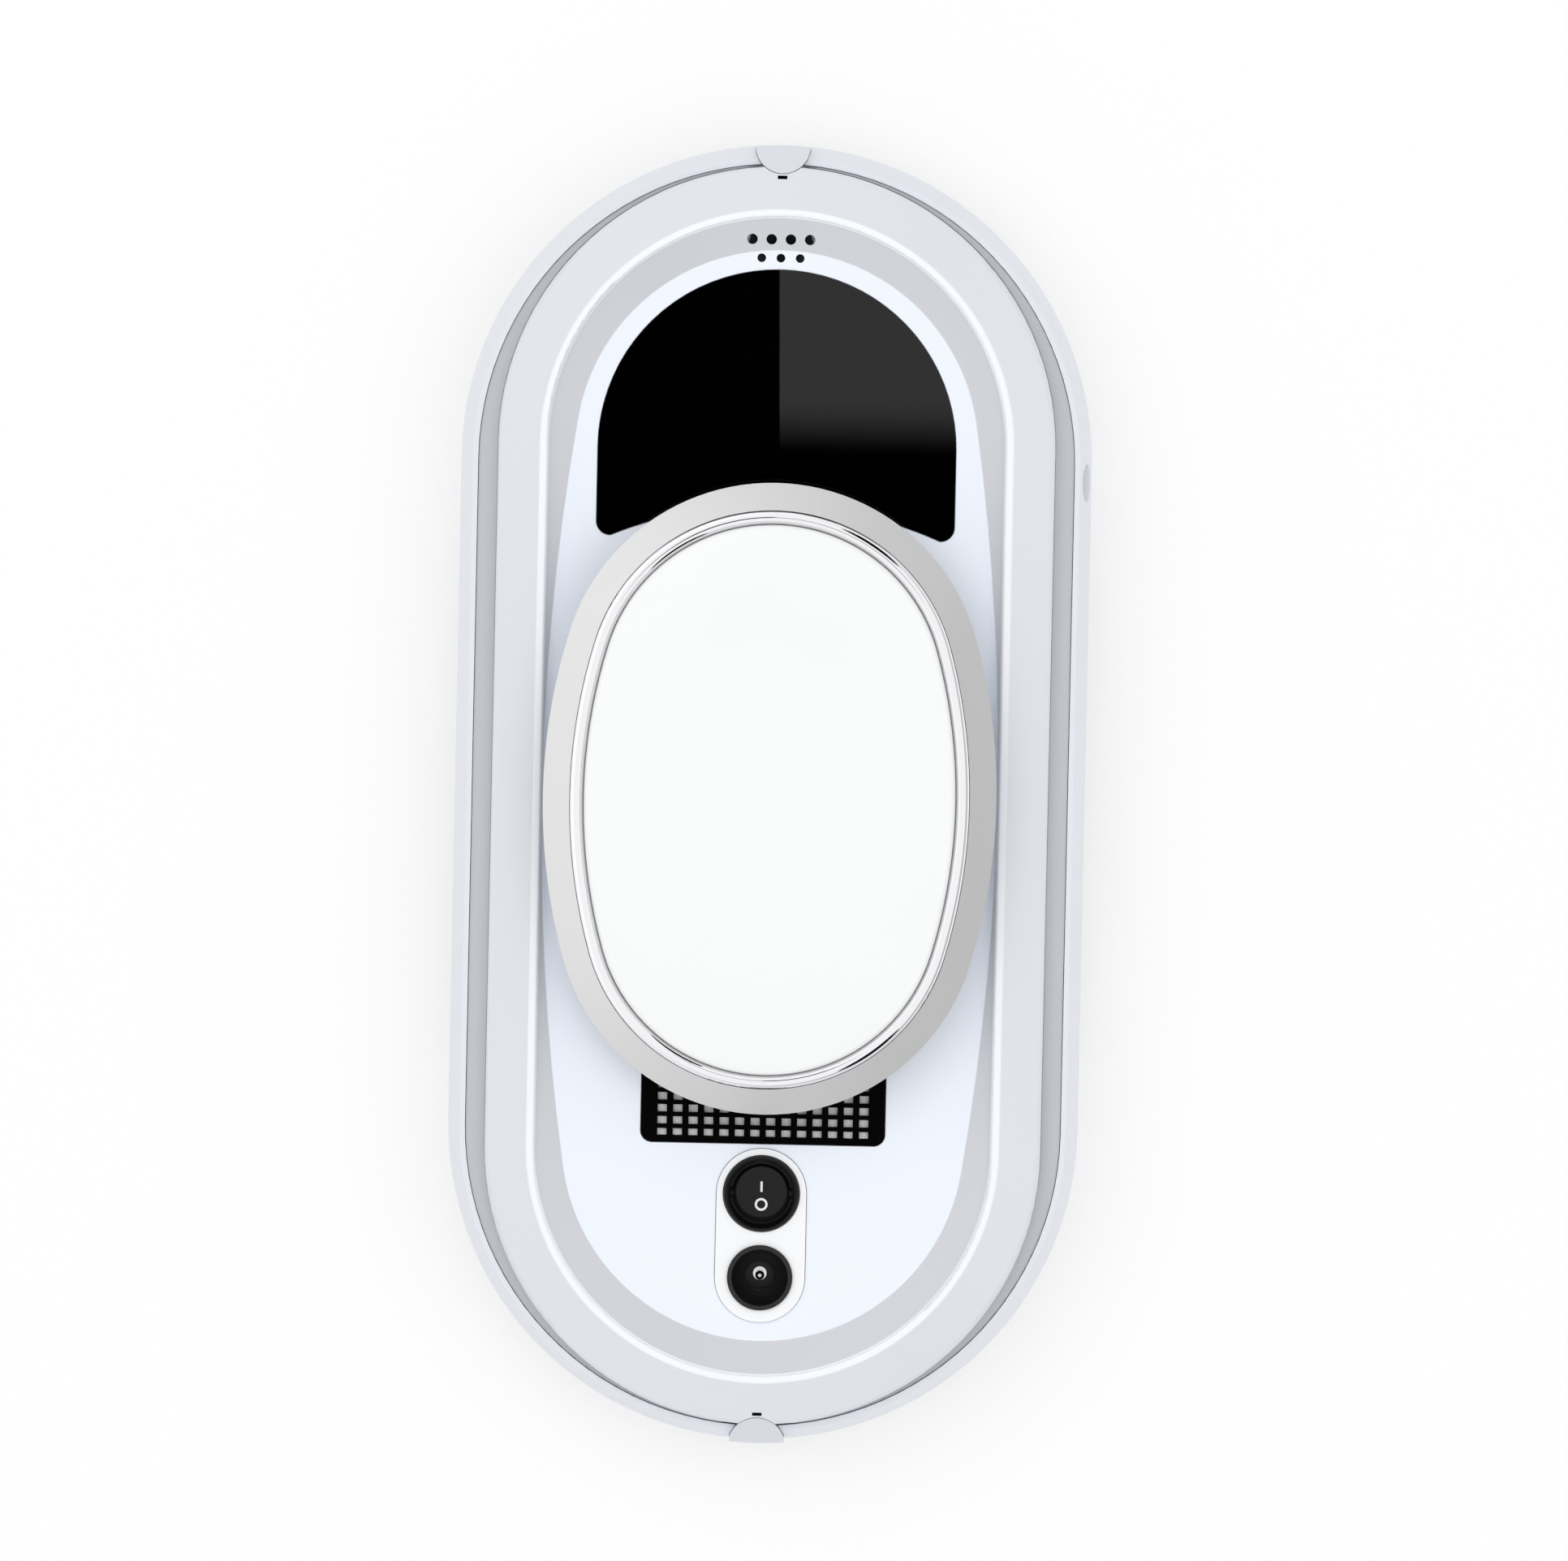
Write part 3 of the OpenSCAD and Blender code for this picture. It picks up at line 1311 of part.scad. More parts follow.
module water_tank() color(natural_plastic) difference() {
    union() {
        translate([0, 0, tank_z]) linear_extrude(tank_top - tank_z) tank_outline(0);
        translate([tank_w / 2 - tank_wall, filler_y, filler_z]) rotate([0, 90, 0])
            cylinder(r = filler_bore_r + filler_neck_wall, h = plug_seat_x - tank_w / 2 + tank_wall);
    }
    translate([0, 0, tank_z + tank_wall])
        linear_extrude(tank_top - tank_z - 2 * tank_wall) tank_outline(tank_wall);
    translate([0, filler_y, filler_z]) rotate([0, 90, 0]) cylinder(r = filler_bore_r, h = body_w);
    translate([-tank_w / 2 - cut, pump_y, pump_inlet_z]) rotate([0, 90, 0])
        cylinder(r = pump_inlet_r + fit, h = tank_wall + 2 * cut, $fn = small_fn);
}

// Rubber plug: a flat head with a nick for a fingernail, and a stem in the filler neck
module filler_plug() color(dark_plastic) translate([plug_seat_x, filler_y, filler_z]) rotate([0, 90, 0]) {
    difference() {
        cylinder(r = plug_head_r, h = plug_head_t);
        translate([plug_head_r - plug_nick, -plug_nick, plug_head_t / 2])
            cube([plug_nick + cut, 2 * plug_nick, plug_head_t]);
    }
    translate([0, 0, -plug_stem_l]) cylinder(r = filler_bore_r - run_fit, h = plug_stem_l + plug_head_t / 2);
}

// Pump: motor can, head, an inlet from the tank and an outlet for each hose
module water_pump() color(black_matt) translate([pump_x, pump_y, 0]) {
    translate([0, 0, floor_top]) cylinder(r = pump_can_r, h = pump_can_h);
    translate([0, 0, floor_top + pump_can_h]) cylinder(r = pump_r, h = pump_head_h);
    translate([0, 0, pump_inlet_z]) rotate([0, 90, 0])
        cylinder(r = pump_inlet_r, h = -pump_x - tank_w / 2 + tank_wall, $fn = small_fn);
    translate([0, 0, hose_z]) rotate([90, 0, 0])
        cylinder(r = hose_bore_r - fit, h = 2 * (pump_r + hose_end_gap + cut), center = true, $fn = small_fn);
}

// Straight run of hose from a point, at the height of the nozzles
module hose_run(x, y, turn, l) {
    translate([x, y, hose_z]) rotate([90, 0, turn]) ring(hose_bore_r, hose_r, l);
}

// Quarter bend of hose about a point
module hose_bend(x, y, turn, r) {
    translate([x, y, hose_z]) rotate(turn) rotate_extrude(angle = 90) translate([r, 0]) difference() {
        circle(hose_r, $fn = small_fn);
        circle(hose_bore_r, $fn = small_fn);
    }
}

module front_hose() color(natural_plastic) {
    start = pump_y + pump_r + hose_end_gap;
    low = hose_cross_y - hose_bend_r;
    high = hose_cross_y + hose_bend_r;
    hose_run(pump_x, start, 180, low - start);
    hose_bend(pump_x + hose_bend_r, low, 90, hose_bend_r);
    hose_run(pump_x + hose_bend_r, hose_cross_y, 90, -pump_x - 2 * hose_bend_r);
    hose_bend(-hose_bend_r, high, 270, hose_bend_r);
    hose_run(0, high, 180, body_l / 2 - nozzle_r - hose_end_gap - high);
}

module rear_hose() color(natural_plastic) {
    start = pump_y - pump_r - hose_end_gap;
    turn_y = rear_cross_y - rear_bend_r;
    hose_run(pump_x, start, 0, start - turn_y - 2 * hose_bend_r);
    hose_bend(pump_x - hose_bend_r, turn_y + 2 * hose_bend_r, 270, hose_bend_r);
    hose_run(pump_x - hose_bend_r, turn_y + hose_bend_r, 270, pump_x - rear_hose_x - 2 * hose_bend_r);
    hose_bend(rear_hose_x + hose_bend_r, turn_y, 90, hose_bend_r);
    hose_run(rear_hose_x, turn_y, 0, 2 * turn_y);
    hose_bend(rear_hose_x + rear_bend_r, -turn_y, 180, rear_bend_r);
    hose_run(rear_hose_x + rear_bend_r, -rear_cross_y, 90, -rear_hose_x - rear_bend_r - hose_bend_r);
    hose_bend(-hose_bend_r, -rear_cross_y - hose_bend_r, 0, hose_bend_r);
    last_y = rear_cross_y + hose_bend_r;
    hose_run(0, -last_y, 0, body_l / 2 - nozzle_r - hose_end_gap - last_y);
}

module speaker() color(black_matt) translate([0, speaker_y, speaker_top - speaker_h]) difference() {
    cylinder(r = speaker_r, h = speaker_h);
    translate([0, 0, speaker_h - speaker_wall])
        cylinder(r1 = speaker_r / 4, r2 = speaker_r - speaker_wall, h = speaker_wall + fit);
}

module circuit_board() color(board_green) difference() {
    translate([board_x, board_y, floor_top + board_lift]) cube([board_w, board_l, board_t]);
    board_posts() cylinder(r = board_hole_r, h = floor_top, $fn = small_fn);
}

// Chips, capacitors and a plug block, set on the board
module board_components() color(black_matt) translate([board_x, board_y, floor_top + board_lift + board_t]) {
    for (place = chip_places_share)
        translate([place[0] * board_w - chip_w / 2, place[1] * board_l - chip_w / 2, 0])
            cube([chip_w, chip_w, chip_t]);
    for (place = can_places_share) translate([place[0] * board_w, place[1] * board_l, 0])
        cylinder(r = can_r, h = can_h, $fn = small_fn);
    translate([board_w / 4, board_l - chip_w / 2 - board_inset / 2, 0])
        cube([board_w / 2, chip_w / 2, plug_block_h]);
}

// Two cells side by side in one wrap
module battery_pack() color(wrap_blue) translate([battery_x, battery_y, floor_top + cell_r + cell_gap])
    rotate([-90, 0, 0]) linear_extrude(cell_l) {
        for (x = [-cell_r, cell_r]) translate([x, 0]) circle(cell_r);
        translate([-cell_r, -cell_r]) square([2 * cell_r, 2 * cell_r]);
    }

// Edge sensors in the floor, one each side, between the discs
module edge_sensors() color(black_gloss) for (x = [-sensor_x, sensor_x]) translate([x, 0, 0]) {
    translate([0, 0, floor_z]) cylinder(r = sensor_r, h = floor_t + sensor_flange_t / 2);
    translate([0, 0, floor_top]) cylinder(r = sensor_r + sensor_flange_w, h = sensor_flange_t);
}

module base_screws() color(steel) cover_screw_places() translate([0, 0, floor_z])
    screw(screw_r, screw_l, screw_head_r, screw_head_h);

module guard_screws() color(steel) front_and_rear() at_front() guard_screw_places() translate([0, 0, pad_h])
    screw(guard_screw_r, guard_screw_l, guard_head_r, guard_head_h);

module hub_screws() color(steel) hub_screw_places() translate([0, 0, panel_under - hub_screw_head_h])
    screw(hub_screw_r, hub_screw_head_h + cover_wall + neck_flange_t, hub_screw_head_r, hub_screw_head_h);

side_skirt();
base_tray();
top_cover();
left_inlay();
right_inlay();
window_panel();
vent_grille();
vent_filter();
hub_neck();
hub_collar();
chrome_ring();
hub_cap();
switch_plate();
switch_body();
rocker();
power_socket();
socket_pin();
front_nozzle_cover();
rear_nozzle_cover();
nozzle_tips();
front_disc();
rear_disc();
front_pad();
rear_pad();
front_drive_gear();
rear_drive_gear();
front_bearing();
rear_bearing();
bearing_inner_rings();
suction_guards();
front_reduction_gear();
rear_reduction_gear();
front_motor_pinion();
rear_motor_pinion();
gear_covers();
front_drive_motor();
rear_drive_motor();
suction_duct();
fan_base();
fan_housing();
impeller();
fan_motor();
water_tank();
filler_plug();
water_pump();
front_hose();
rear_hose();
speaker();
circuit_board();
board_components();
battery_pack();
edge_sensors();
base_screws();
guard_screws();
hub_screws();
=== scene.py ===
"""Finishes, microfibre pads, switch marks and studio for a window cleaning robot.

Metres throughout: +Z points away from the glass, +Y along the body to the black window.
"""

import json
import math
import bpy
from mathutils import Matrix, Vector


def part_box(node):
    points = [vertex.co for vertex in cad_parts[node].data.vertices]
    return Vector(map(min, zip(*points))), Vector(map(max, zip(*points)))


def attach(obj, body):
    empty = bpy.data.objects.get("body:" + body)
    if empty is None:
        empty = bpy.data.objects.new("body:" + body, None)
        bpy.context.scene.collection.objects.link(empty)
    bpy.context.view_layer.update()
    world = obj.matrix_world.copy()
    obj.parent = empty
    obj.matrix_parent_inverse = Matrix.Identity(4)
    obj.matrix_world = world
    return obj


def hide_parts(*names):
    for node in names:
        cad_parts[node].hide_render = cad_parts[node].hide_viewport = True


bl_info = {
    "name": "Window cleaning robot",
    "version": (1, 0, 0),
    "blender": (4, 5, 0),
    "location": "3D View > Sidebar > Robot",
    "description": "Finishes, pads, switch marks and studio for a window cleaning robot",
    "category": "Object",
}

import bpy
import numpy as np
from mathutils import Matrix, Vector

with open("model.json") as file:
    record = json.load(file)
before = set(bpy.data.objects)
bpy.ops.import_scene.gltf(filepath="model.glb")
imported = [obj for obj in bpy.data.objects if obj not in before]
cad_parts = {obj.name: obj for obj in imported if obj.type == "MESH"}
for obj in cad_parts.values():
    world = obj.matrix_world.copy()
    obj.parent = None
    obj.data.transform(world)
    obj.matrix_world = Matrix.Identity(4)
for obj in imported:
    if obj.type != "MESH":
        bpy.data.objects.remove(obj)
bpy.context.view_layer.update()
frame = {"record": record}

MM = 0.001
WHITE = (1.0, 1.0, 1.0)
BLACK = (0.0, 0.0, 0.0)


def linear(*tones):
    """Linear light for tones from 0 to 255 as a picture stores them."""
    shares = [tone / 255 for tone in tones]
    return tuple(s / 12.92 if s <= 0.04045 else ((s + 0.055) / 1.055) ** 2.4 for s in shares)


def tone(name, text, *tones):
    """A colour property whose default is given in picture tones."""
    return bpy.props.FloatVectorProperty(
        name=name, description=text, default=linear(*tones), size=3, min=0, max=1, subtype="COLOR"
    )


def length(name, text, default, low, high):
    """A length property, in metres."""
    return bpy.props.FloatProperty(
        name=name, description=text, default=default, min=low, max=high, unit="LENGTH", precision=4
    )


def share(name, text, default, low=0.0, high=1.0):
    """A plain number with limits."""
    return bpy.props.FloatProperty(name=name, description=text, default=default, min=low, max=high)


def angle(name, text, degrees):
    """An angle, kept in radians."""
    return bpy.props.FloatProperty(
        name=name, description=text, default=math.radians(degrees), unit="ROTATION"
    )


# Plan of the cover, for its finish and its painted shade and highlight: a stadium whose round
# ends have centres at CENTRE_Y, and the crest is the strip between two distances from its long axis
COVER_R = 63.8 * MM
COVER_END_GAP = 0.5 * MM
RIDGE_R = 52.4 * MM
CREST_R = 54.0 * MM
CENTRE_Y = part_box("top_cover")[1][1] - COVER_END_GAP - COVER_R
PANEL_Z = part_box("hub_neck")[0][2]

# Distance of each cleaning disc's axis from the middle of the body
DISC_Y = 75 * MM

# Middle of a pad's binding, in from its rim and down from its top, and the tube's radius
EDGE_IN = 1.0 * MM
EDGE_TUBE = 0.85 * MM

# The rocker's face in the rocker's own frame, whose origin is on its pins: a dish in a
# round top, tipped to its "O" side at rest, with the places of its two marks
FACE_Z = 2.6 * MM
FACE_R = 5.8 * MM
FACE_DISH = 0.5 * MM
FACE_TIP = math.radians(-9)
BAR_Y = 1.25 * MM
RING_Y = -2.85 * MM
INK_LIFT = 0.06 * MM
INK_WALL = 0.05 * MM

# Card over the window: its height, half width and ends along Y, and the edges of its clear
# quarter, each as a start and an end of a smooth step
CARD_Z = 392 * MM
CARD_HALF = 60 * MM
CARD_ENDS = (44 * MM, 129 * MM)
CARD_SIDE = (1.8 * MM, 2.0 * MM)
CARD_FADE = (70.1 * MM, 85.1 * MM)

# Share of plain white in the floor as the eye sees it; the rest takes the shadow
FLOOR_GLOW = 0.62

# Flags round the bead: the middle and half of their elevation, and their half width
FLAG_RISE = math.radians(38)
FLAG_HALF_RISE = math.radians(20)
FLAG_HALF_TURN = math.radians(11)


class ShellSettings(bpy.types.PropertyGroup):
    """Colours and surface of the white shell pieces; the cover's slope and crest tones are painted
    shade and painted highlight on one white.
    """

    skirt: tone("Skirt", "Colour of the skirt and tray", 226, 229, 236)
    # The cover is one white moulding: its outer slope is darker as painted shade, the sloping strip
    # down to the panel darker still as painted shade, and the crest lighter as a painted highlight
    shoulder_painted_shade: tone("Shoulder", "Colour of the cover's sloping shoulder", 219, 222, 228)
    ridge_painted_highlight: tone("Ridge", "Colour of the cover's ridge and rounded edges", 243, 245, 249)
    band_painted_shade: tone("Band", "Colour of the band that slopes down to the panel", 208, 210, 215)
    panel: tone("Panel", "Colour of the sunk panel", 238, 243, 252)
    trim: tone("Inlay", "Colour of the grey side inlays", 196, 197, 201)
    nozzle: tone("Nozzle covers", "Colour of the half-round covers at the ends", 217, 220, 226)
    gloss: share("Roughness", "Roughness of the moulded shell", 0.34)
    grain: share("Grain", "Strength of the moulded grain", 0.16)


class HubSettings(bpy.types.PropertyGroup):
    """Colours of the hub: satin collar, chrome bead and crowned cap."""

    silver: tone("Collar", "Colour of the satin silver collar", 222, 222, 222)
    silver_gloss: share("Collar roughness", "Roughness of the satin coat", 0.33)
    chrome: tone("Bead", "Colour of the chrome bead", 244, 244, 246)
    chrome_gloss: share("Bead roughness", "Roughness of the chrome bead", 0.035)
    cap: tone("Cap", "Colour of the cap", 243, 244, 244)
    cap_gloss: share("Cap roughness", "Roughness of the cap", 0.3)


class BlackSettings(bpy.types.PropertyGroup):
    """Colours of the black pieces."""

    pane: tone("Window", "Colour of the black window", 1, 1, 1)
    grille: tone("Vent plate", "Colour of the vent plate", 2, 2, 2)
    switch: tone("Switch", "Colour of the switch's bezel and the socket", 12, 12, 13)
    rocker: tone("Rocker", "Colour of the rocker", 33, 33, 34)
    ink: tone("Marks", "Colour of the marks on the rocker", 240, 240, 238)
    mark_stroke: length("Stroke", "Width of the strokes of the marks", 0.00052, 0.0003, 0.001)
    bar_length: length("Bar", "Length of the upright bar", 0.0024, 0.001, 0.004)
    ring_radius: length("Ring", "Radius of the round mark's middle line", 0.00122, 0.0006, 0.002)


class PadSettings(bpy.types.PropertyGroup):
    """Sizes and colour of the microfibre pads."""

    inner: length("Inner radius", "Radius of a pad's hole", 0.0490, 0.040, 0.055)
    outer: length("Outer radius", "Radius of a pad's rim", 0.0705, 0.060, 0.072)
    height: length("Thickness", "Thickness of a pad", 0.0070, 0.005, 0.010)
    loop_pitch: length("Loop pitch", "Distance between loops of the pile", 0.0023, 0.0015, 0.004)
    loop_depth: length("Loop depth", "Height of a loop of the pile", 0.0011, 0.0003, 0.002)
    stitch_pitch: length("Stitch pitch", "Pitch of the binding's stitches", 0.0021, 0.001, 0.004)
    pile: tone("Pile", "Colour of the pile", 228, 233, 240)
    binding: tone("Binding", "Colour of the sewn binding", 205, 210, 219)


class StudioSettings(bpy.types.PropertyGroup):
    """Camera, lamps and backdrop."""

    distance: length("Distance", "Distance of the camera from the object", 4.0, 0.3, 10.0)
    tilt: angle("Tilt", "Angle of the camera from straight overhead", 2.4)
    roll: angle("Roll", "Turn of the camera about its own axis", 1.2)
    aim: bpy.props.FloatVectorProperty(
        name="Aim", description="Point that the camera looks at",
        default=(0.0032, 0.0032, 0.030), size=3, subtype="TRANSLATION",
    )
    lens: share("Lens", "Focal length in millimetres", 399.5, 20, 1000)
    sky: share("Sky", "Light that the surroundings give", 0.80, 0, 2)
    key: share("Key", "Power of the large lamp on the upper left, in watts", 7.0, 0, 100)
    fill: share("Fill", "Power of the lamp on the right, in watts", 4.5, 0, 100)
    floor: tone("Floor", "Colour of the floor", 250, 250, 251)


class Wire:
    """A socket in an expression: each operator on it adds its Math node."""

    def __init__(self, finish, socket):
        self.finish = finish
        self.socket = socket

    def __add__(self, other):
        return self.finish.math("ADD", self, other)

    __radd__ = __add__

    def __sub__(self, other):
        return self.finish.math("SUBTRACT", self, other)

    def __rsub__(self, other):
        return self.finish.math("SUBTRACT", other, self)

    def __mul__(self, other):
        return self.finish.math("MULTIPLY", self, other)

    __rmul__ = __mul__

    def __gt__(self, other):
        return self.finish.math("GREATER_THAN", self, other)

    def __abs__(self):
        return self.finish.math("ABSOLUTE", self)


def supply(tree, socket, value):
    """Link a wire to a socket, or set its value; a colour gets an alpha of 1."""
    if isinstance(value, Wire):
        tree.links.new(value.socket, socket)
    elif hasattr(value, "__len__") and len(value) == 3 and socket.type == "RGBA":
        socket.default_value = (*value, 1)
    else:
        socket.default_value = value


class Finish:
    """The nodes of one finish. node() adds any node; math() is what Wire's operators use."""

    def __init__(self, tree):
        self.tree = tree
        tree.nodes.clear()

    def node(self, kind, settings=None, values=None, output=0):
        """Add a node, make its settings, then set or link its sockets; return one output."""
        made = self.tree.nodes.new(kind)
        for key, value in (settings or {}).items():
            setattr(made, key, value)
        for key, value in (values or {}).items():
            supply(self.tree, made.inputs[key], value)
        return Wire(self, made.outputs[output])

    def math(self, operation, *values):
        """One Math node on values or wires."""
        return self.node("ShaderNodeMath", {"operation": operation}, dict(enumerate(values)))

    def place(self):
        """Object coordinates, as x, y and z wires and the vector."""
        point = self.node("ShaderNodeTexCoord", output="Object")
        apart = self.tree.nodes.new("ShaderNodeSeparateXYZ")
        self.tree.links.new(point.socket, apart.inputs[0])
        return [Wire(self, apart.outputs[k]) for k in range(3)] + [point]

    def noise(self, point, scale, detail=3.0, roughness=0.5):
        """Smooth noise from 0 to 1 about a half."""
        return self.node("ShaderNodeTexNoise", values={
            "Vector": point, "Scale": scale, "Detail": detail, "Roughness": roughness,
        })

    def between(self, value, low, high):
        """Smooth step from 0 at low to 1 at high."""
        return self.node("ShaderNodeMapRange", {"interpolation_type": "SMOOTHSTEP"}, {
            "Value": value, "From Min": low, "From Max": high,
        })

    def mix(self, factor, first, second, blend="MIX"):
        """first where factor is 0 and second where it is 1, for colours."""
        return self.node(
            "ShaderNodeMix", {"data_type": "RGBA", "blend_type": blend},
            {0: factor, 6: first, 7: second}, output=2,
        )

    def bump(self, height, distance, strength=1.0):
        """Normal that follows a height in shares of distance, in metres."""
        return self.node("ShaderNodeBump", values={
            "Height": height, "Distance": distance, "Strength": strength,
        })

    def plain_sight(self):
        """1 for what the camera sees directly, in gloss or through glass, and 0 for light."""
        path = self.tree.nodes.new("ShaderNodeLightPath")
        camera, glossy, through = (
            Wire(self, path.outputs[k])
            for k in ("Is Camera Ray", "Is Glossy Ray", "Is Transmission Ray")
        )
        return self.math("MAXIMUM", self.math("MAXIMUM", camera, glossy), through)

    def glow(self, level, colour=WHITE):
        """Light of its own, at a strength of level."""
        return self.node("ShaderNodeEmission", values={"Color": colour, "Strength": level})


def surface(name, **sockets):
    """New material with one Principled shader; return its Finish and the shader's node."""
    material = bpy.data.materials.new(name)
    material.use_nodes = True
    finish = Finish(material.node_tree)
    shader = material.node_tree.nodes.new("ShaderNodeBsdfPrincipled")
    out = material.node_tree.nodes.new("ShaderNodeOutputMaterial")
    material.node_tree.links.new(shader.outputs[0], out.inputs["Surface"])
    finish.material = material
    finish.shader = shader
    finish.out = out
    feed(finish, **sockets)
    return finish


def feed(finish, **sockets):
    """Set or link the shader's sockets; an underscore in a key stands for a space."""
    for key, value in sockets.items():
        supply(finish.tree, finish.shader.inputs[key.replace("_", " ")], value)


def moulded(name, colour, roughness, grain, gloss=0.0):
    """Moulded plastic: faint flow clouds in its colour, fine grain and a slight ripple."""
    finish = surface(name, IOR=1.47)
    *_, point = finish.place()
    clouds = finish.noise(point, 22, 2)
    darker = tuple(0.985 * c for c in colour)
    lighter = tuple(min(1, 1.01 * c) for c in colour)
    shade = finish.mix(clouds, darker, lighter)
    fine = finish.noise(point, 2600, 2)
    ripple = finish.noise(point, 120, 1)
    feed(
        finish, Base_Color=shade, Roughness=roughness + 0.05 * (fine - 0.5),
        Normal=finish.bump(fine * 0.8 + ripple * 0.2, 12e-6, grain),
    )
    if gloss:
        feed(finish, Coat_Weight=gloss, Coat_Roughness=0.06)
    return finish.material


def cover_finish(shell):
    """Moulded white of the cover, with painted light: the panel in its own tone, the outer slope
    and the sloping strip into the panel darker as painted shade, and the crest lighter as a painted
    highlight.

    The distance from the cover's long axis tells the recess, inside the crest, from the
    outer slope outside it; the height above the panel tells the sloping strip from the panel.
    """
    finish = surface("cover_white_painted_shade", IOR=1.47)
    x, y, z, point = finish.place()
    beyond = finish.math("MAXIMUM", abs(y) - CENTRE_Y, 0.0)
    away = finish.math("SQRT", x * x + beyond * beyond)
    inside = 1 - finish.between(away, RIDGE_R - 0.3 * MM, RIDGE_R - 0.1 * MM)
    outside = finish.between(away, CREST_R - 0.1 * MM, CREST_R + 0.5 * MM)
    raised = finish.between(z, PANEL_Z + 0.03 * MM, PANEL_Z + 0.12 * MM)
    # Crest in a lighter tone as a painted highlight, outer slope darker as painted shade
    upper = finish.mix(outside, tuple(shell.ridge_painted_highlight), tuple(shell.shoulder_painted_shade))
    # Sloping strip darker than the panel as painted shade
    lower = finish.mix(raised, tuple(shell.panel), tuple(shell.band_painted_shade))
    shade = finish.mix(inside, upper, lower)
    clouds = finish.noise(point, 22, 2)
    shade = finish.mix(0.025 * clouds, shade, WHITE, "MULTIPLY")
    fine = finish.noise(point, 2600, 2)
    feed(
        finish, Base_Color=shade, Roughness=shell.gloss + 0.05 * (fine - 0.5),
        Normal=finish.bump(fine, 12e-6, shell.grain),
    )
    return finish.material


def glass_black(name, colour, roughness=0.01, ior=1.43):
    """High-gloss black with the faintest orange peel."""
    finish = surface(name, IOR=ior)
    *_, point = finish.place()
    peel = finish.noise(point, 260, 1)
    dust = finish.noise(point, 3000, 2)
    feed(
        finish, Base_Color=finish.mix(dust, tuple(0.7 * c for c in colour), colour),
        Roughness=roughness * (0.8 + 0.4 * dust), Normal=finish.bump(peel, 4e-6, 0.05),
    )
    return finish.material


def satin_metal(name, colour, roughness, strokes=0.0):
    """Metal coat with a fine sparkle; strokes stretches it into brush marks along X."""
    finish = surface(name, Metallic=1.0)
    *_, point = finish.place()
    if strokes:
        point = finish.node("ShaderNodeMapping", values={"Vector": point, "Scale": (strokes, 1, 1)})
    flake = finish.noise(point, 4200, 2)
    cloud = finish.noise(point, 40, 2)
    shade = finish.mix(flake * 0.6 + cloud * 0.4, tuple(0.93 * c for c in colour), colour)
    feed(
        finish, Base_Color=shade, Roughness=roughness + 0.06 * (flake - 0.5),
        Normal=finish.bump(flake, 10e-6, 0.12),
    )
    return finish.material


def mirror_metal(name, colour, roughness):
    """Plated metal: near mirror, with a trace of uneven polish."""
    finish = surface(name, Metallic=1.0)
    *_, point = finish.place()
    haze = finish.noise(point, 900, 2)
    feed(
        finish, Base_Color=finish.mix(haze, tuple(0.97 * c for c in colour), colour),
        Roughness=roughness + 0.02 * haze, Normal=finish.bump(haze, 2e-6, 0.1),
    )
    return finish.material


def matt(name, colour, roughness=0.7, grain=0.5, scale=1800, low=0.85, ior=1.45):
    """Matt surface with a visible grain, such as rubber, felt or unpainted plastic."""
    finish = surface(name, IOR=ior)
    *_, point = finish.place()
    fine = finish.noise(point, scale, 4)
    shade = finish.mix(fine, tuple(low * c for c in colour), colour)
    feed(
        finish, Base_Color=shade, Roughness=roughness + 0.1 * (fine - 0.5),
        Normal=finish.bump(fine, 40e-6, grain),
    )
    return finish.material


def pile_finish(name, colour):
    """Microfibre: fine curled fibres with a soft sheen, darker down to 0.72 of the colour where the
    curls and tufts dip, as painted shade deep in the pile.
    """
    finish = surface(name, Sheen_Weight=0.35, Sheen_Roughness=0.5, IOR=1.4)
    *_, point = finish.place()
    curls = finish.noise(point, 1500, 5, 0.7)
    tufts = finish.noise(point, 420, 3)
    # Darker where the curls' bump dips: painted shade in the pile's hollows
    shade = finish.mix(curls * 0.7 + tufts * 0.3, tuple(0.72 * c for c in colour), colour)
    feed(
        finish, Base_Color=shade, Roughness=0.85 + 0.1 * (curls - 0.5),
        Normal=finish.bump(curls, 180e-6, 0.55),
    )
    return finish.material


def board_finish():
    """Green solder mask with pale tracks and round pads in a regular grid."""
    finish = surface("solder_mask", IOR=1.5)
    x, y, _, point = finish.place()
    column = finish.math("FRACT", x * 320)
    row = finish.math("FRACT", y * 140)
    track = (column > 0.8) * (finish.noise(point, 90, 1) > 0.48)
    cross = (row > 0.86) * (finish.noise(point, 110, 1) > 0.55)
    lines = finish.math("MAXIMUM", track, cross)
    shade = finish.mix(lines, (0.006, 0.075, 0.028), (0.02, 0.19, 0.07))
    feed(
        finish, Base_Color=shade, Roughness=0.42 - 0.1 * lines,
        Normal=finish.bump(lines, 30e-6, 0.5),
    )
    return finish.material


def wrap_finish():
    """Blue shrink wrap with soft lengthwise wrinkles, darker in their troughs as painted shade."""
    finish = surface("battery_wrap", IOR=1.5, Coat_Weight=0.4, Coat_Roughness=0.15)
    *_, point = finish.place()
    along = finish.node("ShaderNodeMapping", values={"Vector": point, "Scale": (1, 0.25, 1)})
    wrinkle = finish.noise(along, 170, 3)
    # The colour follows the wrinkles' height: darker in the troughs as painted shade
    shade = finish.mix(wrinkle, (0.012, 0.05, 0.2), (0.025, 0.09, 0.3))
    feed(
        finish, Base_Color=shade, Roughness=0.3 + 0.1 * wrinkle,
        Normal=finish.bump(wrinkle, 120e-6, 0.35),
    )
    return finish.material


def paint(material, *nodes):
    """Give CAD nodes a finish."""
    for name in nodes:
        slots = bpy.data.objects[name].data.materials
        slots.clear()
        slots.append(material)


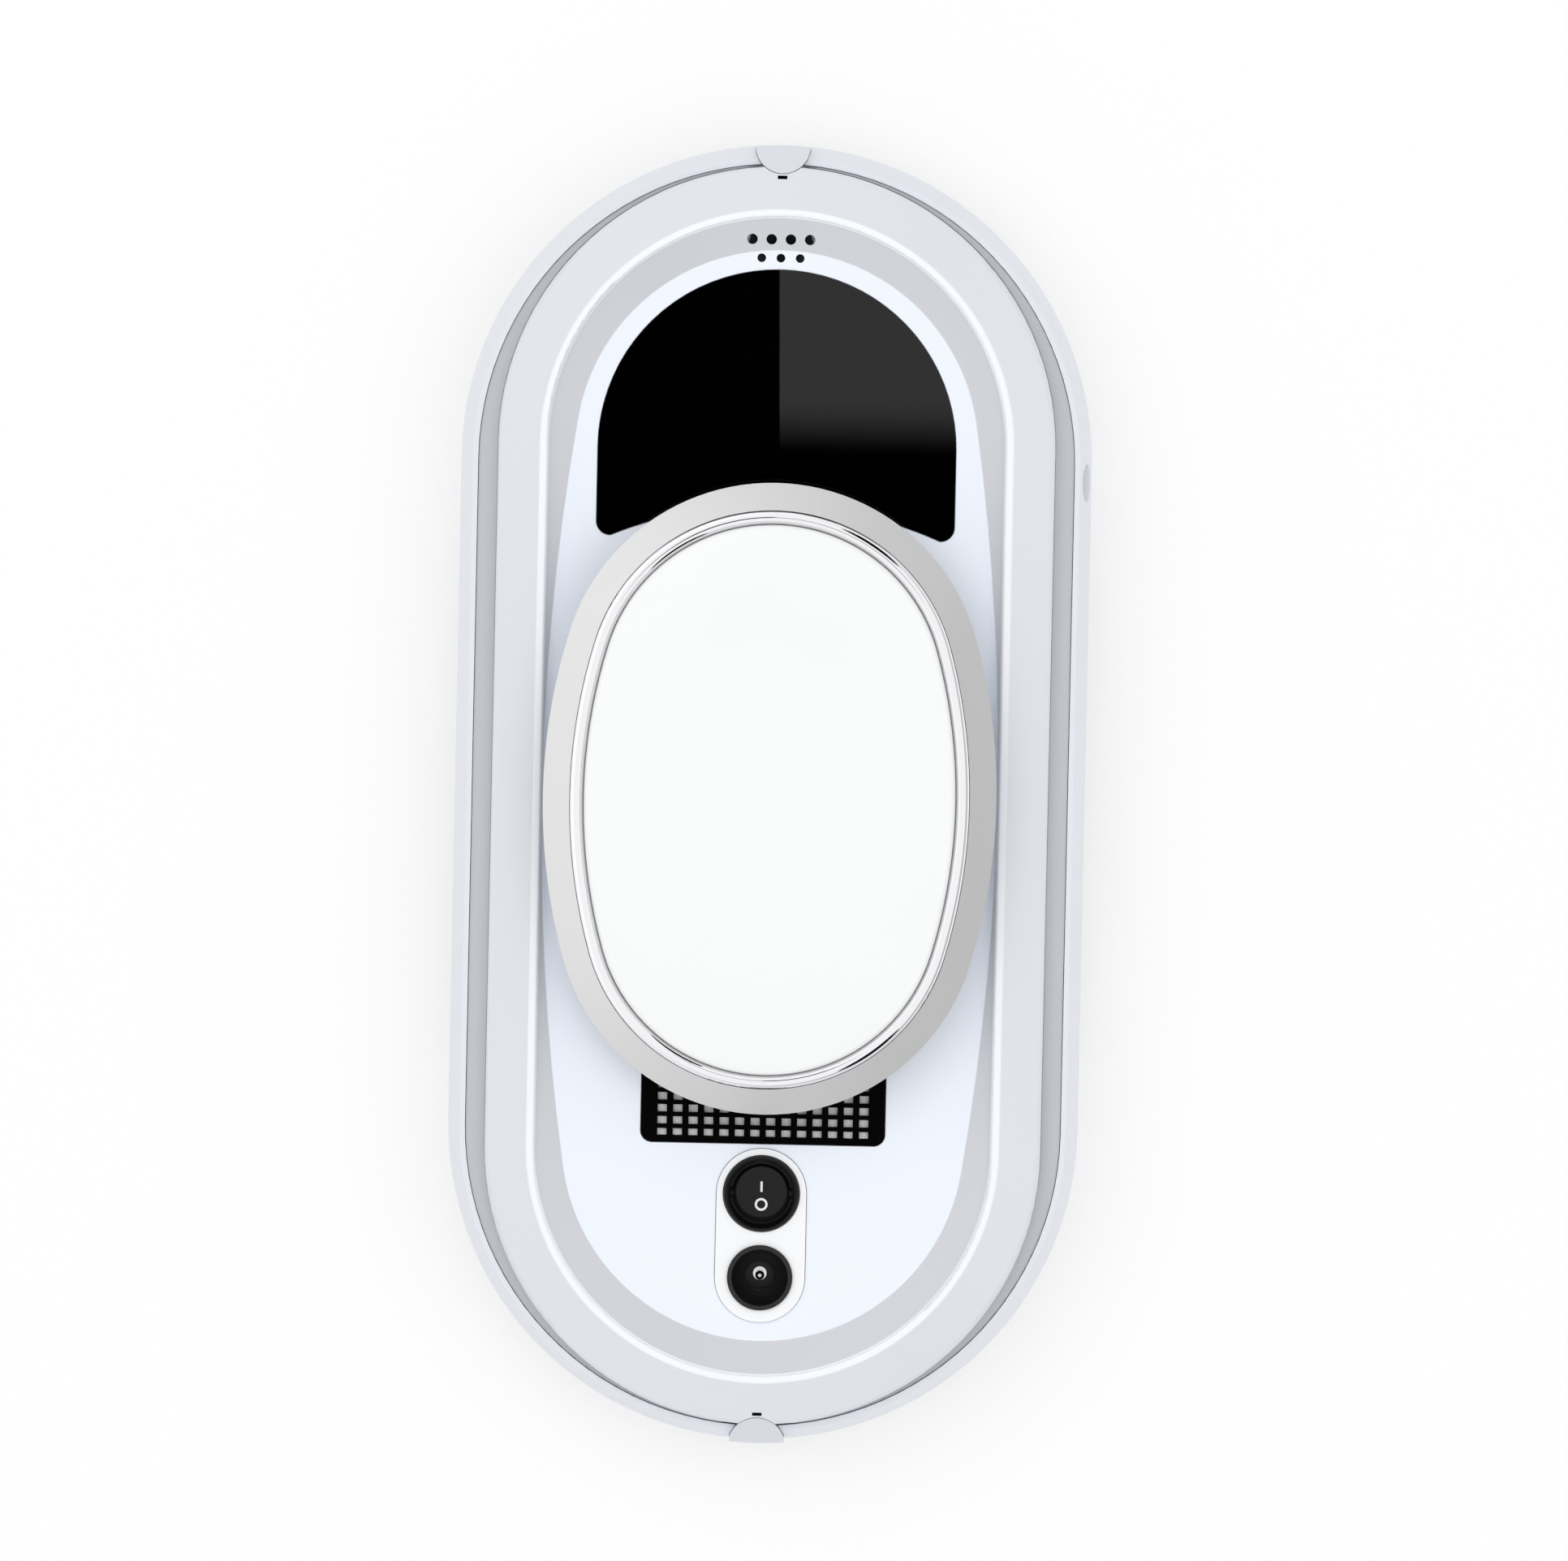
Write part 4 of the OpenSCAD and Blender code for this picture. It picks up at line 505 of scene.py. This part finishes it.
def grid_mesh(name, points, closed_round=True, closed_across=True):
    """Mesh of quads on a grid of points, an array of rows by columns by 3.

    Rows join up end to end when closed_round is true, and columns when closed_across is.
    """
    rows, columns = points.shape[:2]
    r = np.arange(rows if closed_round else rows - 1)[:, None]
    c = np.arange(columns if closed_across else columns - 1)[None, :]
    corners = [
        (r % rows) * columns + c % columns,
        ((r + 1) % rows) * columns + c % columns,
        ((r + 1) % rows) * columns + (c + 1) % columns,
        (r % rows) * columns + (c + 1) % columns,
    ]
    quads = np.stack([k.ravel() for k in corners], axis=1).astype(np.int32)
    mesh = bpy.data.meshes.new(name)
    mesh.vertices.add(rows * columns)
    mesh.vertices.foreach_set("co", points.reshape(-1).astype(np.float32))
    mesh.loops.add(quads.size)
    mesh.loops.foreach_set("vertex_index", quads.ravel())
    mesh.polygons.add(len(quads))
    mesh.polygons.foreach_set("loop_start", np.arange(0, quads.size, 4, dtype=np.int32))
    mesh.update(calc_edges=True)
    mesh.validate()
    mesh.polygons.foreach_set("use_smooth", np.ones(len(mesh.polygons), dtype=bool))
    return mesh


def flat_mesh(name, across, along, height):
    """Level rectangle between two ends along X and two along Y, facing up."""
    (left, right), (near, far) = across, along
    mesh = bpy.data.meshes.new(name)
    corners = [(left, near), (right, near), (right, far), (left, far)]
    mesh.from_pydata([(*corner, height) for corner in corners], [], [(0, 1, 2, 3)])
    return mesh


def linked(name, data):
    """New object at the origin, put into the scene."""
    made = bpy.data.objects.new(name, data)
    bpy.context.scene.collection.objects.link(made)
    return made


def piece(name, mesh, body, material):
    """Object at the origin that rides on a body, with its finish."""
    made = linked(name, mesh)
    mesh.materials.append(material)
    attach(made, body)
    return made


def pile_ring(pads, centre, seed):
    """Points of a looped ring: around it, then round its cross-section.

    The cross-section is a superellipse of fourth power between the two radii, taken in by
    the loops' depth. Loops are domes on a staggered grid of cells, each with its own
    height: depth times the root of one less the squared distance from the cell's middle.
    They stand out along the cross-section's normal, fade out on top, where the disc
    lies, and are pressed flat on the glass.
    """
    around, across = 760, 118
    half_w = (pads.outer - pads.inner) / 2 - pads.loop_depth
    half_h = (pads.height - pads.loop_depth) / 2
    mid_r = (pads.outer + pads.inner) / 2
    turn = np.linspace(0, 2 * np.pi, around, endpoint=False)[:, None]
    t = np.linspace(0, 2 * np.pi, across, endpoint=False)[None, :]
    c, s = np.cos(t), np.sin(t)
    out = half_w * np.sign(c) * np.sqrt(np.abs(c))
    up = half_h * np.sign(s) * np.sqrt(np.abs(s))
    # arc length along the cross-section keeps the rows of loops evenly spaced
    step = np.hypot(np.diff(out, append=out[:, :1]), np.diff(up, append=up[:, :1]))
    along = np.concatenate([[0], np.cumsum(step[0])[:-1]])[None, :]
    rows = round(float(step.sum()) / pads.loop_pitch)
    count = round(2 * np.pi * mid_r / pads.loop_pitch)
    b = along / step.sum() * rows
    row = np.floor(b).astype(int) % rows
    a = turn / (2 * np.pi) * count + 0.5 * (row % 2)
    cell = np.floor(a).astype(int) % count
    rng = np.random.default_rng(seed)
    tall = rng.uniform(0.55, 1.0, (count, rows))[cell, row]
    lean = rng.uniform(-0.16, 0.16, (count, rows))[cell, row]
    fa = a - np.floor(a) - 0.5 + lean
    fb = b - np.floor(b) - 0.5
    dome = np.sqrt(np.clip(1 - 3.2 * fa**2 - 3.2 * fb**2, 0, 1))
    fade = np.clip(1.3 - 1.6 * np.clip(s, 0, 1), 0, 1)
    lift = pads.loop_depth * tall * dome * fade
    n_out = np.sign(c) * np.abs(c) ** 1.5 / half_w
    n_up = np.sign(s) * np.abs(s) ** 1.5 / half_h
    size = np.hypot(n_out, n_up)
    radius = mid_r + out + lift * n_out / size
    height = pads.loop_depth + half_h + up + lift * n_up / size
    height = np.clip(height, 0.02 * MM, pads.height)
    return np.stack([
        centre[0] + radius * np.cos(turn), centre[1] + radius * np.sin(turn),
        height * np.ones_like(turn),
    ], axis=-1)


def bound_edge(centre, radius, height, tube, stitches):
    """Points of a sewn binding: a tube round a circle, rippled by its slanting stitches.

    Its radius is the tube's times 1 plus a seventh of the sine of the turn times the
    number of stitches, with the phase carried round by the angle about the tube.
    """
    turn = np.linspace(0, 2 * np.pi, stitches * 5, endpoint=False)[:, None]
    t = np.linspace(0, 2 * np.pi, 10, endpoint=False)[None, :]
    thick = tube * (1 + 0.14 * np.sin(stitches * turn + t))
    out = radius + thick * np.cos(t)
    return np.stack([
        centre[0] + out * np.cos(turn), centre[1] + out * np.sin(turn),
        height + thick * np.sin(t) * np.ones_like(turn),
    ], axis=-1)


def dished(points, radius, depth, top):
    """Height of a rocker's face: a sphere that sinks depth below top inside radius."""
    ball = (radius**2 + depth**2) / (2 * depth)
    return top - depth + ball - np.sqrt(ball**2 - points[..., 0] ** 2 - points[..., 1] ** 2)


class ROBOT_OT_shell(bpy.types.Operator):
    """Finish the skirt, tray, cover, inlays and nozzle covers"""

    bl_idname = "robot.shell"
    bl_label = "Shell"

    def execute(self, context):
        shell = context.scene.robot_shell
        paint(
            moulded("skirt_white", tuple(shell.skirt), shell.gloss, shell.grain),
            "side_skirt", "base_tray",
        )
        paint(cover_finish(shell), "top_cover")
        # The neck takes the cover's outer slope tone: white darkened as painted shade
        paint(moulded("neck_white_painted_shade", tuple(shell.shoulder_painted_shade), shell.gloss, shell.grain), "hub_neck")
        inlay = moulded("inlay_grey", tuple(shell.trim), 0.45, shell.grain)
        paint(inlay, "left_inlay", "right_inlay")
        paint(
            moulded("nozzle_white", tuple(shell.nozzle), shell.gloss, shell.grain),
            "front_nozzle_cover", "rear_nozzle_cover",
        )
        return {"FINISHED"}


class ROBOT_OT_hub(bpy.types.Operator):
    """Finish the collar, the chrome bead and the cap"""

    bl_idname = "robot.hub"
    bl_label = "Hub"

    def execute(self, context):
        hub = context.scene.robot_hub
        paint(satin_metal("satin_silver", tuple(hub.silver), hub.silver_gloss), "hub_collar")
        paint(mirror_metal("bright_chrome", tuple(hub.chrome), hub.chrome_gloss), "chrome_ring")
        paint(moulded("cap_white", tuple(hub.cap), hub.cap_gloss, 0.05, 0.1), "hub_cap")
        return {"FINISHED"}


class ROBOT_OT_panes(bpy.types.Operator):
    """Finish the black window, the vent plate and its felt"""

    bl_idname = "robot.panes"
    bl_label = "Window and vent"

    def execute(self, context):
        black = context.scene.robot_black
        paint(glass_black("window_black", tuple(black.pane)), "window_panel")
        paint(matt("vent_black", tuple(black.grille), 0.6, 0.2, ior=1.1), "vent_grille")
        paint(matt("filter_felt", linear(250, 250, 249), 0.95, 1.0, 900, 0.8), "vent_filter")
        return {"FINISHED"}


class ROBOT_OT_switch(bpy.types.Operator):
    """Finish switch and socket, and print the marks on the rocker"""

    bl_idname = "robot.switch"
    bl_label = "Switch and socket"

    def execute(self, context):
        black = context.scene.robot_black
        paint(moulded("plate_white", linear(245, 246, 248), 0.25, 0.08), "switch_plate")
        paint(glass_black("switch_black", tuple(black.switch), 0.22, 1.3), "switch_body")
        paint(moulded("socket_black", tuple(black.switch), 0.38, 0.3), "power_socket")
        paint(mirror_metal("pin_steel", linear(225, 225, 226), 0.12), "socket_pin")
        paint(matt("rocker_black", tuple(black.rocker), 0.42, 0.25, 2400, ior=1.2), "rocker")
        self.print_marks(black)
        return {"FINISHED"}

    def print_marks(self, black):
        """Lay a bar and a ring on the rocker's dished face, each a thin sheet with a wall."""
        joints = frame["record"]["behaviour"]["joints"]
        hinge = next(joint for joint in joints if joint["name"] == "rocker_tip")
        tipped = Matrix.Rotation(FACE_TIP, 3, "X")
        ink = matt("mark_white", tuple(black.ink), 0.5, 0.1)
        half = black.mark_stroke / 2
        u = np.linspace(-1, 1, 9)[:, None]
        v = np.linspace(-1, 1, 25)[None, :]
        bar = np.stack([
            u * half + 0 * v, BAR_Y + v * black.bar_length / 2 + 0 * u, 0 * u * v,
        ], axis=-1)
        turn = np.linspace(0, 2 * np.pi, 64, endpoint=False)[:, None]
        width = np.linspace(-1, 1, 7)[None, :]
        reach = black.ring_radius + width * half
        loop = np.stack([
            reach * np.cos(turn), RING_Y + reach * np.sin(turn), 0 * reach * turn,
        ], axis=-1)
        for name, sheet, closed in (("bar_mark", bar, False), ("ring_mark", loop, True)):
            sheet[..., 2] = dished(sheet, FACE_R, FACE_DISH, FACE_Z) + INK_LIFT
            placed = sheet @ np.array(tipped).T + np.array(hinge["pos_m"])
            mesh = grid_mesh(name, placed, closed, False)
            mark = piece(name, mesh, "switch_rocker", ink)
            wall = mark.modifiers.new("Wall", "SOLIDIFY")
            wall.thickness = INK_WALL
            wall.offset = -1


class ROBOT_OT_pads(bpy.types.Operator):
    """Make the two microfibre pads with their sewn bindings, and finish the discs"""

    bl_idname = "robot.pads"
    bl_label = "Pads"

    def execute(self, context):
        pads = context.scene.robot_pads
        pile = pile_finish("microfibre", tuple(pads.pile))
        thread = matt("binding_thread", tuple(pads.binding), 0.8, 0.8, 2600, 0.7)
        for end, side, seed in (("front", 1, 11), ("rear", -1, 12)):
            body = end + "_cleaning_disc"
            centre = (0.0, side * DISC_Y)
            mesh = grid_mesh(end + "_pile", pile_ring(pads, centre, seed))
            cloth = piece(end + "_pile", mesh, body, pile)
            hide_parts(end + "_pad")
            for edge, radius in (("rim", pads.outer - EDGE_IN), ("hole", pads.inner + EDGE_IN)):
                count = round(2 * np.pi * radius / pads.stitch_pitch)
                points = bound_edge(centre, radius, pads.height - EDGE_IN, EDGE_TUBE, count)
                name = f"{end}_{edge}_binding"
                piece(name, grid_mesh(name, points), body, thread)
        paint(moulded("disc_grey", linear(150, 153, 158), 0.5, 0.4), "front_disc", "rear_disc")
        return {"FINISHED"}


class ROBOT_OT_drive(bpy.types.Operator):
    """Finish gears, bearings, covers and motors of the drive"""

    bl_idname = "robot.drive"
    bl_label = "Drive"

    def execute(self, context):
        gear = moulded("gear_white", linear(232, 230, 220), 0.4, 0.3)
        paint(
            gear, "front_drive_gear", "rear_drive_gear", "front_reduction_gear",
            "rear_reduction_gear",
        )
        brass = satin_metal("turned_brass", linear(204, 168, 92), 0.28)
        paint(brass, "front_motor_pinion", "rear_motor_pinion")
        bright = satin_metal("bearing_steel", linear(196, 197, 200), 0.22)
        paint(bright, "front_bearing", "rear_bearing", "bearing_inner_rings")
        paint(matt("guard_dark", linear(58, 60, 64), 0.5, 0.3), "suction_guards", "gear_covers")
        can = satin_metal("can_steel", linear(188, 190, 193), 0.3, 0.15)
        paint(can, "front_drive_motor", "rear_drive_motor")
        return {"FINISHED"}


class ROBOT_OT_suction(bpy.types.Operator):
    """Finish the duct, the fan and its motor"""

    bl_idname = "robot.suction"
    bl_label = "Suction"

    def execute(self, context):
        duct = matt("duct_dark", linear(62, 64, 69), 0.55, 0.3)
        paint(duct, "suction_duct", "fan_base", "fan_housing")
        paint(moulded("impeller_white", linear(226, 226, 222), 0.35, 0.2), "impeller")
        paint(satin_metal("fan_can", linear(180, 182, 186), 0.3, 0.15), "fan_motor")
        return {"FINISHED"}


class ROBOT_OT_spray(bpy.types.Operator):
    """Finish the tank, its plug, the pump, the hoses and the nozzles"""

    bl_idname = "robot.spray"
    bl_label = "Spray"

    def execute(self, context):
        paint(moulded("tank_natural", linear(226, 228, 224), 0.3, 0.2), "water_tank")
        paint(matt("plug_rubber", linear(222, 225, 232), 0.5, 0.2), "filler_plug")
        paint(matt("pump_black", linear(34, 34, 36), 0.5, 0.3), "water_pump")
        paint(matt("hose_grey", linear(190, 192, 190), 0.45, 0.15), "front_hose", "rear_hose")
        paint(matt("nozzle_black", linear(22, 22, 23), 0.4, 0.2), "nozzle_tips")
        return {"FINISHED"}


class ROBOT_OT_electronics(bpy.types.Operator):
    """Finish board, battery, speaker and edge sensors"""

    bl_idname = "robot.electronics"
    bl_label = "Electronics"

    def execute(self, context):
        paint(board_finish(), "circuit_board")
        paint(matt("chip_black", linear(28, 28, 30), 0.5, 0.3), "board_components")
        paint(wrap_finish(), "battery_pack")
        paint(matt("cone_black", linear(30, 30, 32), 0.7, 0.5), "speaker")
        paint(glass_black("sensor_black", linear(10, 8, 12), 0.08), "edge_sensors")
        return {"FINISHED"}


class ROBOT_OT_fasteners(bpy.types.Operator):
    """Finish the screws"""

    bl_idname = "robot.fasteners"
    bl_label = "Fasteners"

    def execute(self, context):
        zinc = satin_metal("zinc_plate", linear(186, 188, 190), 0.32)
        paint(zinc, "base_screws", "guard_screws", "hub_screws")
        return {"FINISHED"}


class ROBOT_OT_stage(bpy.types.Operator):
    """Set up floor, surroundings, lamps and camera"""

    bl_idname = "robot.stage"
    bl_label = "Studio"

    def execute(self, context):
        studio = context.scene.robot_studio
        self.surroundings(context.scene, studio)
        self.floor(studio)
        self.wall()
        self.shade(studio.roll)
        for name, azimuth in (("upper_flag", 57), ("lower_flag", -57)):
            self.flag(name, math.radians(azimuth))
        self.lamp("key_lamp", (-0.55, 0.45, 1.8), 1.4, studio.key)
        self.lamp("fill_lamp", (0.7, -0.1, 1.8), 1.2, studio.fill)
        self.camera(context.scene, studio)
        return {"FINISHED"}

    def surroundings(self, scene, studio):
        """White to the eye and in reflections, and the sky's strength as light."""
        world = bpy.data.worlds.new("studio")
        world.use_nodes = True
        finish = Finish(world.node_tree)
        out = finish.tree.nodes.new("ShaderNodeOutputWorld")
        back = finish.node("ShaderNodeBackground", values={
            "Color": WHITE,
            "Strength": studio.sky + (1 - studio.sky) * finish.plain_sight(),
        })
        finish.tree.links.new(back.socket, out.inputs[0])
        scene.world = world
        scene.view_settings.view_transform = "Standard"

    def floor(self, studio):
        """Pale floor that is near white to the eye and still takes the object's shadow."""
        half = 3.0
        mesh = flat_mesh("floor", (-half, half), (-half, half), 0.0)
        finish = surface("floor_white", Base_Color=tuple(studio.floor), Roughness=0.9, IOR=1.2)
        both = finish.node("ShaderNodeMixShader", values={
            0: finish.plain_sight() * FLOOR_GLOW, 1: Wire(finish, finish.shader.outputs[0]),
            2: finish.glow(1.0),
        })
        finish.tree.links.new(both.socket, finish.out.inputs["Surface"])
        mesh.materials.append(finish.material)
        linked("floor", mesh)

    def only_reflected(self, name, mesh, tree_name, shade):
        """Add a mesh that is seen in gloss alone: it gives no light and casts no shadow.

        shade takes the new material's Finish and returns the wire of its surface.
        """
        made = linked(name, mesh)
        material = bpy.data.materials.new(tree_name)
        material.use_nodes = True
        finish = Finish(material.node_tree)
        out = finish.tree.nodes.new("ShaderNodeOutputMaterial")
        finish.tree.links.new(shade(finish).socket, out.inputs[0])
        mesh.materials.append(material)
        for sight in ("camera", "diffuse", "transmission", "volume_scatter", "shadow"):
            setattr(made, "visible_" + sight, False)

    def wall(self):
        """Round studio wall, seen in gloss alone: light on the upper left, darker to the right."""
        turn = np.linspace(0, 2 * np.pi, 96, endpoint=False)[:, None]
        rise = np.array([-0.2, 0.5, 1.0, 1.6])[None, :]
        reach = 2.2
        ring = np.broadcast_arrays(reach * np.cos(turn), reach * np.sin(turn), rise)
        points = np.stack(ring, axis=-1)

        def level(finish):
            x, y, *_ = finish.place()
            return finish.glow(0.89 - 0.31 / reach * x + 0.15 / reach * y)

        mesh = grid_mesh("studio_wall", points, True, False)
        self.only_reflected("studio_wall", mesh, "wall_tone", level)

    def shade(self, roll):
        """Dark card overhead that the window mirrors, save for its upper right quarter.

        The clear quarter's upright edge leans by the camera's roll.
        """
        mesh = flat_mesh("shade_card", (-CARD_HALF, CARD_HALF), CARD_ENDS, CARD_Z)
        lean = math.tan(roll)

        def quarter(finish):
            x, y, *_ = finish.place()
            side = finish.between(x + lean * y, *CARD_SIDE)
            fade = finish.between(y, *CARD_FADE)
            return finish.node("ShaderNodeMixShader", values={
                0: side * fade, 1: finish.glow(0.0, BLACK),
                2: finish.node("ShaderNodeBsdfTransparent"),
            })

        self.only_reflected("shade_card", mesh, "shade_tone", quarter)

    def flag(self, name, azimuth):
        """Dark oval card on a sphere round the object, mirrored as a streak in the chrome bead.

        Its half width in azimuth follows an ellipse over the elevation.
        """
        rise = np.linspace(-1, 1, 25)[:, None]
        across = np.linspace(-1, 1, 9)[None, :]
        elevation = FLAG_RISE + FLAG_HALF_RISE * rise + 0 * across
        turn = azimuth + FLAG_HALF_TURN * across * np.sqrt(1 - rise**2)
        points = np.stack([
            np.cos(elevation) * np.cos(turn), np.cos(elevation) * np.sin(turn), np.sin(elevation),
        ], axis=-1)
        mesh = grid_mesh(name, points, False, False)
        self.only_reflected(name, mesh, name + "_tone", lambda finish: finish.glow(0.0, BLACK))

    def lamp(self, name, place, size, power):
        """Square lamp that faces the object."""
        light = bpy.data.lights.new(name, "AREA")
        light.shape = "SQUARE"
        light.size = size
        light.energy = power
        made = linked(name, light)
        made.visible_glossy = False
        made.location = place
        made.rotation_euler = (-Vector(place)).to_track_quat("-Z", "Y").to_euler()

    def camera(self, scene, studio):
        """Camera on the window's side of straight overhead, turned a little about its axis."""
        back = Vector((0, math.sin(studio.tilt), math.cos(studio.tilt)))
        up = Vector((0, math.cos(studio.tilt), -math.sin(studio.tilt)))
        right = Vector((1, 0, 0))
        turned = Matrix((right, up, back)).transposed() @ Matrix.Rotation(studio.roll, 3, "Z")
        lens = bpy.data.cameras.new("view")
        lens.lens = studio.lens
        lens.sensor_width = 36
        lens.sensor_fit = "HORIZONTAL"
        lens.clip_start = 0.01
        made = linked("view", lens)
        place = Vector(studio.aim) + back * studio.distance
        made.matrix_world = Matrix.Translation(place) @ turned.to_4x4()
        scene.camera = made


class ROBOT_PT_panel(bpy.types.Panel):
    """The robot's settings and steps in the sidebar"""

    bl_idname = "ROBOT_PT_panel"
    bl_label = "Window cleaning robot"
    bl_space_type = "VIEW_3D"
    bl_region_type = "UI"
    bl_category = "Robot"

    def draw(self, context):
        for step, group in STEPS:
            box = self.layout.box()
            box.operator(step)
            if group:
                settings = getattr(context.scene, group)
                for name in settings.__annotations__:
                    box.prop(settings, name)


GROUPS = {
    "robot_shell": ShellSettings,
    "robot_hub": HubSettings,
    "robot_black": BlackSettings,
    "robot_pads": PadSettings,
    "robot_studio": StudioSettings,
}
STEPS = (
    ("robot.shell", "robot_shell"),
    ("robot.hub", "robot_hub"),
    ("robot.panes", "robot_black"),
    ("robot.switch", None),
    ("robot.pads", "robot_pads"),
    ("robot.drive", None),
    ("robot.suction", None),
    ("robot.spray", None),
    ("robot.electronics", None),
    ("robot.fasteners", None),
    ("robot.stage", "robot_studio"),
)
CLASSES = (
    *GROUPS.values(), ROBOT_OT_shell, ROBOT_OT_hub, ROBOT_OT_panes, ROBOT_OT_switch, ROBOT_OT_pads,
    ROBOT_OT_drive, ROBOT_OT_suction, ROBOT_OT_spray, ROBOT_OT_electronics, ROBOT_OT_fasteners,
    ROBOT_OT_stage, ROBOT_PT_panel,
)


def register():
    for cls in CLASSES:
        bpy.utils.register_class(cls)
    for name, group in GROUPS.items():
        setattr(bpy.types.Scene, name, bpy.props.PointerProperty(type=group))


def unregister():
    for name in GROUPS:
        delattr(bpy.types.Scene, name)
    for cls in reversed(CLASSES):
        bpy.utils.unregister_class(cls)


def main():
    """Register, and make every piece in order."""
    register()
    for step, _ in STEPS:
        family, name = step.split(".")
        getattr(getattr(bpy.ops, family), name)()


if __name__ == "__main__":
    main()
